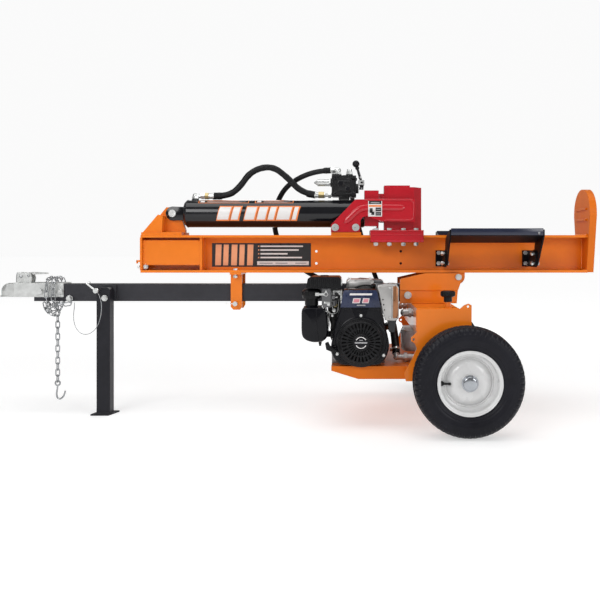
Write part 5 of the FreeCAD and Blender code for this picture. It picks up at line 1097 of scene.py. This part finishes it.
_p.add(hexagon((124, -292, 452), (0, -1, 0), 8, 4.0, 0.6), "zinc")
_p.add(sweep(smooth_line([(124, -295, 452), (128, -296, 440), (140, -292, 432), (152, -284, 430)], 2, 8), 1.2, 8), "zinc")
_p.done("chassis", "zinc")

_p = Piece("air_cleaner_detail")
for _i in range(7):
    _x = 78 + 15 * _i
    _p.add(rbox(_x, _x + 7, -302.0, -299.0, 526, 556, 1.2), "plastic")
_p.add(lathe((128, -225, 562.5), (0, 0, 1), [(17, 0), (16.5, 3.0), (14, 4.5), (0, 4.8)], 32), "plastic_gloss")
_p.add(sweep([(63, -299, 522), (128, -301, 522), (191, -299, 522)], 2.0, 8), "plastic")
_p.add(rbox(186, 196, -262, -242, 528, 552, 2.0), "zinc")
_p.done("chassis", "black_plastic")

_p = Piece("muffler_guard")
# guard with louvres; its openings are dark discs of painted shade
_g = [(356, 402), (392, 400), (405, 408), (407, 420), (406.5, 524), (398, 537), (372, 538.5), (329, 533), (326, 528), (333, 500), (345, 440)]
_p.add(prism(_g, "xz", -304.5, -300.3, r=1.6, seg=3), "shield")
_p.add(prism([(396, -303), (406.8, -300), (406.8, -200), (403.8, -200), (403.8, -298)], "xy", 410, 524, r=0.8), "shield")
# brown patch over the right part of the guard's face
_p.add(prism([(385, 409), (401, 411), (404, 424), (403.5, 520), (396, 531), (386, 531.5)], "xz", -305.4, -304.2, r=0.5, seg=2), "shield_warm")
for _x, _z in ((348, 479), (351, 460), (353.3, 440.5)):
    _p.add(lathe((_x, -304.6, _z), (0, -1, 0), [(0, 0), (2.6, 0), (2.6, 0.4), (0, 0.4)], 20), "dark")
_p.add(sweep(smooth_line([(382, -304.4, 414), (382.6, -304.4, 528)], 4), 2.0, 10), "shield")
_p.add(sweep(smooth_line([(334, -304.2, 526), (376, -304.4, 531), (394, -304.4, 530)], 4), 1.6, 10), "shield")
for _x, _z in ((374, 412), (374, 522)):
    _p.add(hexagon((_x, -304.2, _z), (0, -1, 0), 8, 3.5), "zinc")
_p.done("chassis", "black_paint")

_tank = closed_catmull([(43.5, 400), (44.2, 432), (50, 446), (64, 449.5), (92, 449.5), (118, 449.5), (131, 445), (138, 430), (142, 403), (144, 362), (138.5, 336), (124, 322.5), (106, 318.5), (84, 318.8), (60, 327), (47, 342), (43.6, 365)], 5)
_p = Piece("fuel_tank_body")
_rows = [(8.0, -190.0), (5.6, -190.6), (3.4, -192.2), (1.6, -195.5), (0.4, -200.5), (0.0, -206.0), (0.0, -243.5), (0.9, -244.6), (0.9, -247.4), (0.0, -248.5), (0.0, -284.0), (0.4, -289.5), (1.6, -294.5), (3.4, -297.8), (5.6, -299.4), (8.0, -300.0)]
_v, _f, _n = [], [], len(_tank)
for _d, _y in _rows:
    _v += [(q[0], _y, q[1]) for q in inset(_tank, _d)]
for _i in range(len(_rows) - 1):
    for _k in range(_n):
        _j = (_k + 1) % _n
        _f.append((_i * _n + _k, _i * _n + _j, (_i + 1) * _n + _j, (_i + 1) * _n + _k))
for _b0, _y in ((0, -190.0), ((len(_rows) - 1) * _n, -300.0)):
    _c = len(_v)
    _v.append((92.0, _y, 384.0))
    for _k in range(_n):
        _f.append((_b0 + _k, _b0 + (_k + 1) % _n, _c))
_p.add((_v, _f), "plastic_gloss")
_p.add(lathe((80, -255, 440), (0, 0, 1), [(30, 6), (29.5, 9), (27, 12), (22, 13), (22, 34), (21, 36), (18, 36), (18, -2)], 48), "plastic_gloss")
for _h in (455, 461, 467):
    _p.add(lathe((80, -255, _h), (0, 0, 1), [(21.5, -1.2), (22.9, 0), (21.5, 1.2)], 40), "plastic_gloss")
_p.add(rbox(116, 152, -229, -205, 330, 352, 2.0), "plastic_gloss")
_p.add(lathe((112, -250, 320), (0, 0, -1), [(9, -4), (9, 4), (6, 6), (6, 12), (4.5, 13), (4.5, 20), (0, 20)], 20), "plastic")
_p.add(sweep(smooth_line([(101, -299.6, 444), (100, -300.3, 400), (104, -300.3, 360), (108, -299.6, 326)], 4, 6), 1.3, 8), "plastic_gloss")
_p.done("chassis", "black_plastic", ["fuel_tank"], angle=40)

# side cover between the tank and the housing
_p = Piece("intake_side_cover")
_p.add(prism([(140, 468), (190, 468), (188, 430), (178, 392), (170, 352), (166, 322), (156, 316), (150, 330), (152, 380), (142, 412)], "xz", -238, -170, r=3.0, seg=3), "iron")
_p.add(rbox(146, 172, -243, -236, 396, 430, 2.0), "plastic")
_p.add(lathe((160, -238, 350), (0, -1, 0), [(0, 0), (10, 0), (10, 5), (8, 7), (0, 7)], 24), "plastic")
_p.add(lathe((158, -243, 413), (0, -1, 0), [(0, 0), (5, 0), (5, 3), (0, 3)], 6), "zinc")
_p.add(sweep(smooth_line([(150, -240, 446), (166, -242, 438), (172, -242, 410), (164, -242, 372), (158, -240, 340)], 2, 12), 2.2, 10), "hose")
_p.done("chassis", "black_iron")

_p = Piece("grip_detail")
for _k in range(3):
    _p.add(sweep([(141 + 9 * _k, -353.4, 316 - 8 * _k), (144.5 + 9 * _k, -353.8, 311 - 7 * _k), (148 + 9 * _k, -353.4, 306 - 6 * _k)], 1.8, 10), "plastic")
_p.done("grip", "black_plastic")

# pump: end-cover bolts and label
_p = Piece("pump_detail")
for _x in (236, 296):
    for _z in (294, 374):
        _p.add(hexagon((_x, 147.8, _z), (0, 1, 0), 13, 6), "zinc")
_p.add(rbox(250, 284, 147.8, 148.5, 320, 346, 0.3, 1), "decal_grey")
_p.add(lathe((254, 100, 386), (0, 0, 1), [(18, 0), (18, 3), (15, 3.5)], 36), "alu")
for _i in range(6):
    _a = math.radians(60 * _i + 30)
    _p.add(hexagon((EX + 70 * math.cos(_a), -60.2, EZ + 70 * math.sin(_a)), (0, -1, 0), 11, 5), "zinc") if abs(math.cos(_a)) > 0.8 else None
_p.done("chassis", "cast_aluminium")

def link(p, c, d, roll, wire=2.3, half=7.6, w=7.4):
    a = unit(d)
    ref = np.array((0, 0, 1.0)) if abs(a[2]) < 0.9 else np.array((1.0, 0, 0))
    u = unit(np.cross(ref, a))
    v = np.cross(a, u)
    t = math.radians(roll)
    e = math.cos(t) * u + math.sin(t) * v
    o = np.array(c, float)
    pts = []
    for k in range(33):
        q = 2 * math.pi * k / 32
        pts.append(o + a * (math.copysign(half, math.cos(q)) + w * math.cos(q)) + e * w * math.sin(q))
    p.add(sweep(pts, wire, 10, caps=False, up=np.cross(a, e)), "zinc_chain")


_p = Piece("chain_bunch")
for _pts in ([(-1018, -58, 447), (-1012, -60, 424), (-996, -62, 406), (-978, -63, 398), (-958, -62, 408), (-946, -60, 428)],
             [(-1001, -66, 446), (-993, -68, 428), (-981, -70, 420), (-969, -69, 431), (-962, -66, 448)],
             [(-962, -62, 436), (-950, -61, 446), (-936, -60, 440), (-918, -59, 442), (-908, -58, 458), (-914, -57, 474)]):
    _l = smooth_line(_pts, 1.0, 30)
    _s = np.concatenate([[0], np.cumsum(np.linalg.norm(np.diff(_l, axis=0), axis=1))])
    _n = int(_s[-1] / 21.0)
    for _i in range(_n):
        _k = int(np.searchsorted(_s, (_i + 0.5) * _s[-1] / _n))
        _k = min(max(_k, 2), len(_l) - 3)
        link(_p, _l[_k], _l[_k + 2] - _l[_k - 2], 90 * (_i % 2) + 20)
_p.done("chassis", "zinc")

# ---------------------------------------------------------------------------
# lights and floor
# ---------------------------------------------------------------------------


def area(name, loc, target, size, size_y, energy, color=(1, 1, 1)):
    l = bpy.data.lights.new(name, "AREA")
    l.shape = "RECTANGLE"
    l.size, l.size_y, l.energy, l.color = size, size_y, energy, color
    o = bpy.data.objects.new(name, l)
    o.location = loc
    o.rotation_euler = (Vector(target) - Vector(loc)).to_track_quat("-Z", "Y").to_euler()
    scene.collection.objects.link(o)
    o.visible_camera = False
    return o


area("overhead", (0.0, -0.6, 3.4), (0.0, 0.0, 0.4), 4.2, 2.0, 60)
area("front_key", (-1.8, -3.4, 2.4), (0.0, 0.0, 0.5), 2.2, 1.6, 60)
area("front_fill", (3.4, -3.5, 1.8), (0.1, 0.0, 0.5), 1.8, 1.8, 46)
area("back_rim", (0.4, 3.4, 2.4), (0.0, 0.0, 0.6), 3.6, 1.8, 46)

world = bpy.data.worlds.new("studio")
scene.world = world
world.use_nodes = True
world.node_tree.nodes["Background"].inputs["Color"].default_value = (1.0, 1.0, 1.0, 1)
world.node_tree.nodes["Background"].inputs["Strength"].default_value = 0.24
scene.view_settings.view_transform = "Standard"

_fm = bpy.data.materials.new("studio_floor")
_fm.use_nodes = True
_wt = world.node_tree
_lp = _wt.nodes.new("ShaderNodeLightPath")
_mr = _wt.nodes.new("ShaderNodeMapRange")
_mr.inputs["To Min"].default_value = 0.24
_mr.inputs["To Max"].default_value = 0.96
_wt.links.new(_lp.outputs["Is Camera Ray"], _mr.inputs["Value"])
_wt.links.new(_mr.outputs["Result"], _wt.nodes["Background"].inputs["Strength"])
_b = _fm.node_tree.nodes["Principled BSDF"]
_b.inputs["Base Color"].default_value = (0.60, 0.60, 0.60, 1)
_b.inputs["Roughness"].default_value = 0.7
_b.inputs["Specular IOR Level"].default_value = 0.2
_b.inputs["Emission Color"].default_value = (1, 1, 1, 1)
_b.inputs["Emission Strength"].default_value = 0.34
_fn = _fm.node_tree
_ft = _fn.nodes.new("ShaderNodeTexCoord")
_fl = _fn.nodes.new("ShaderNodeVectorMath")
_fl.operation = "LENGTH"
_fr = _fn.nodes.new("ShaderNodeMapRange")
_fr.interpolation_type = "SMOOTHSTEP"
_fr.inputs["From Min"].default_value = 0.9
_fr.inputs["From Max"].default_value = 5.0
_fr.inputs["To Min"].default_value = 0.50
_fr.inputs["To Max"].default_value = 0.82
_fn.links.new(_ft.outputs["Object"], _fl.inputs[0])
_fn.links.new(_fl.outputs["Value"], _fr.inputs["Value"])
_fn.links.new(_fr.outputs["Result"], _b.inputs["Emission Strength"])
_me = bpy.data.meshes.new("floor")
_S = 40.0
_me.from_pydata([(-_S, -_S, -0.0006), (_S, -_S, -0.0006), (_S, _S, -0.0006), (-_S, _S, -0.0006)], [], [(0, 1, 2, 3)])
_me.materials.append(_fm)
floor = bpy.data.objects.new("floor", _me)
scene.collection.objects.link(floor)

bpy.context.view_layer.update()
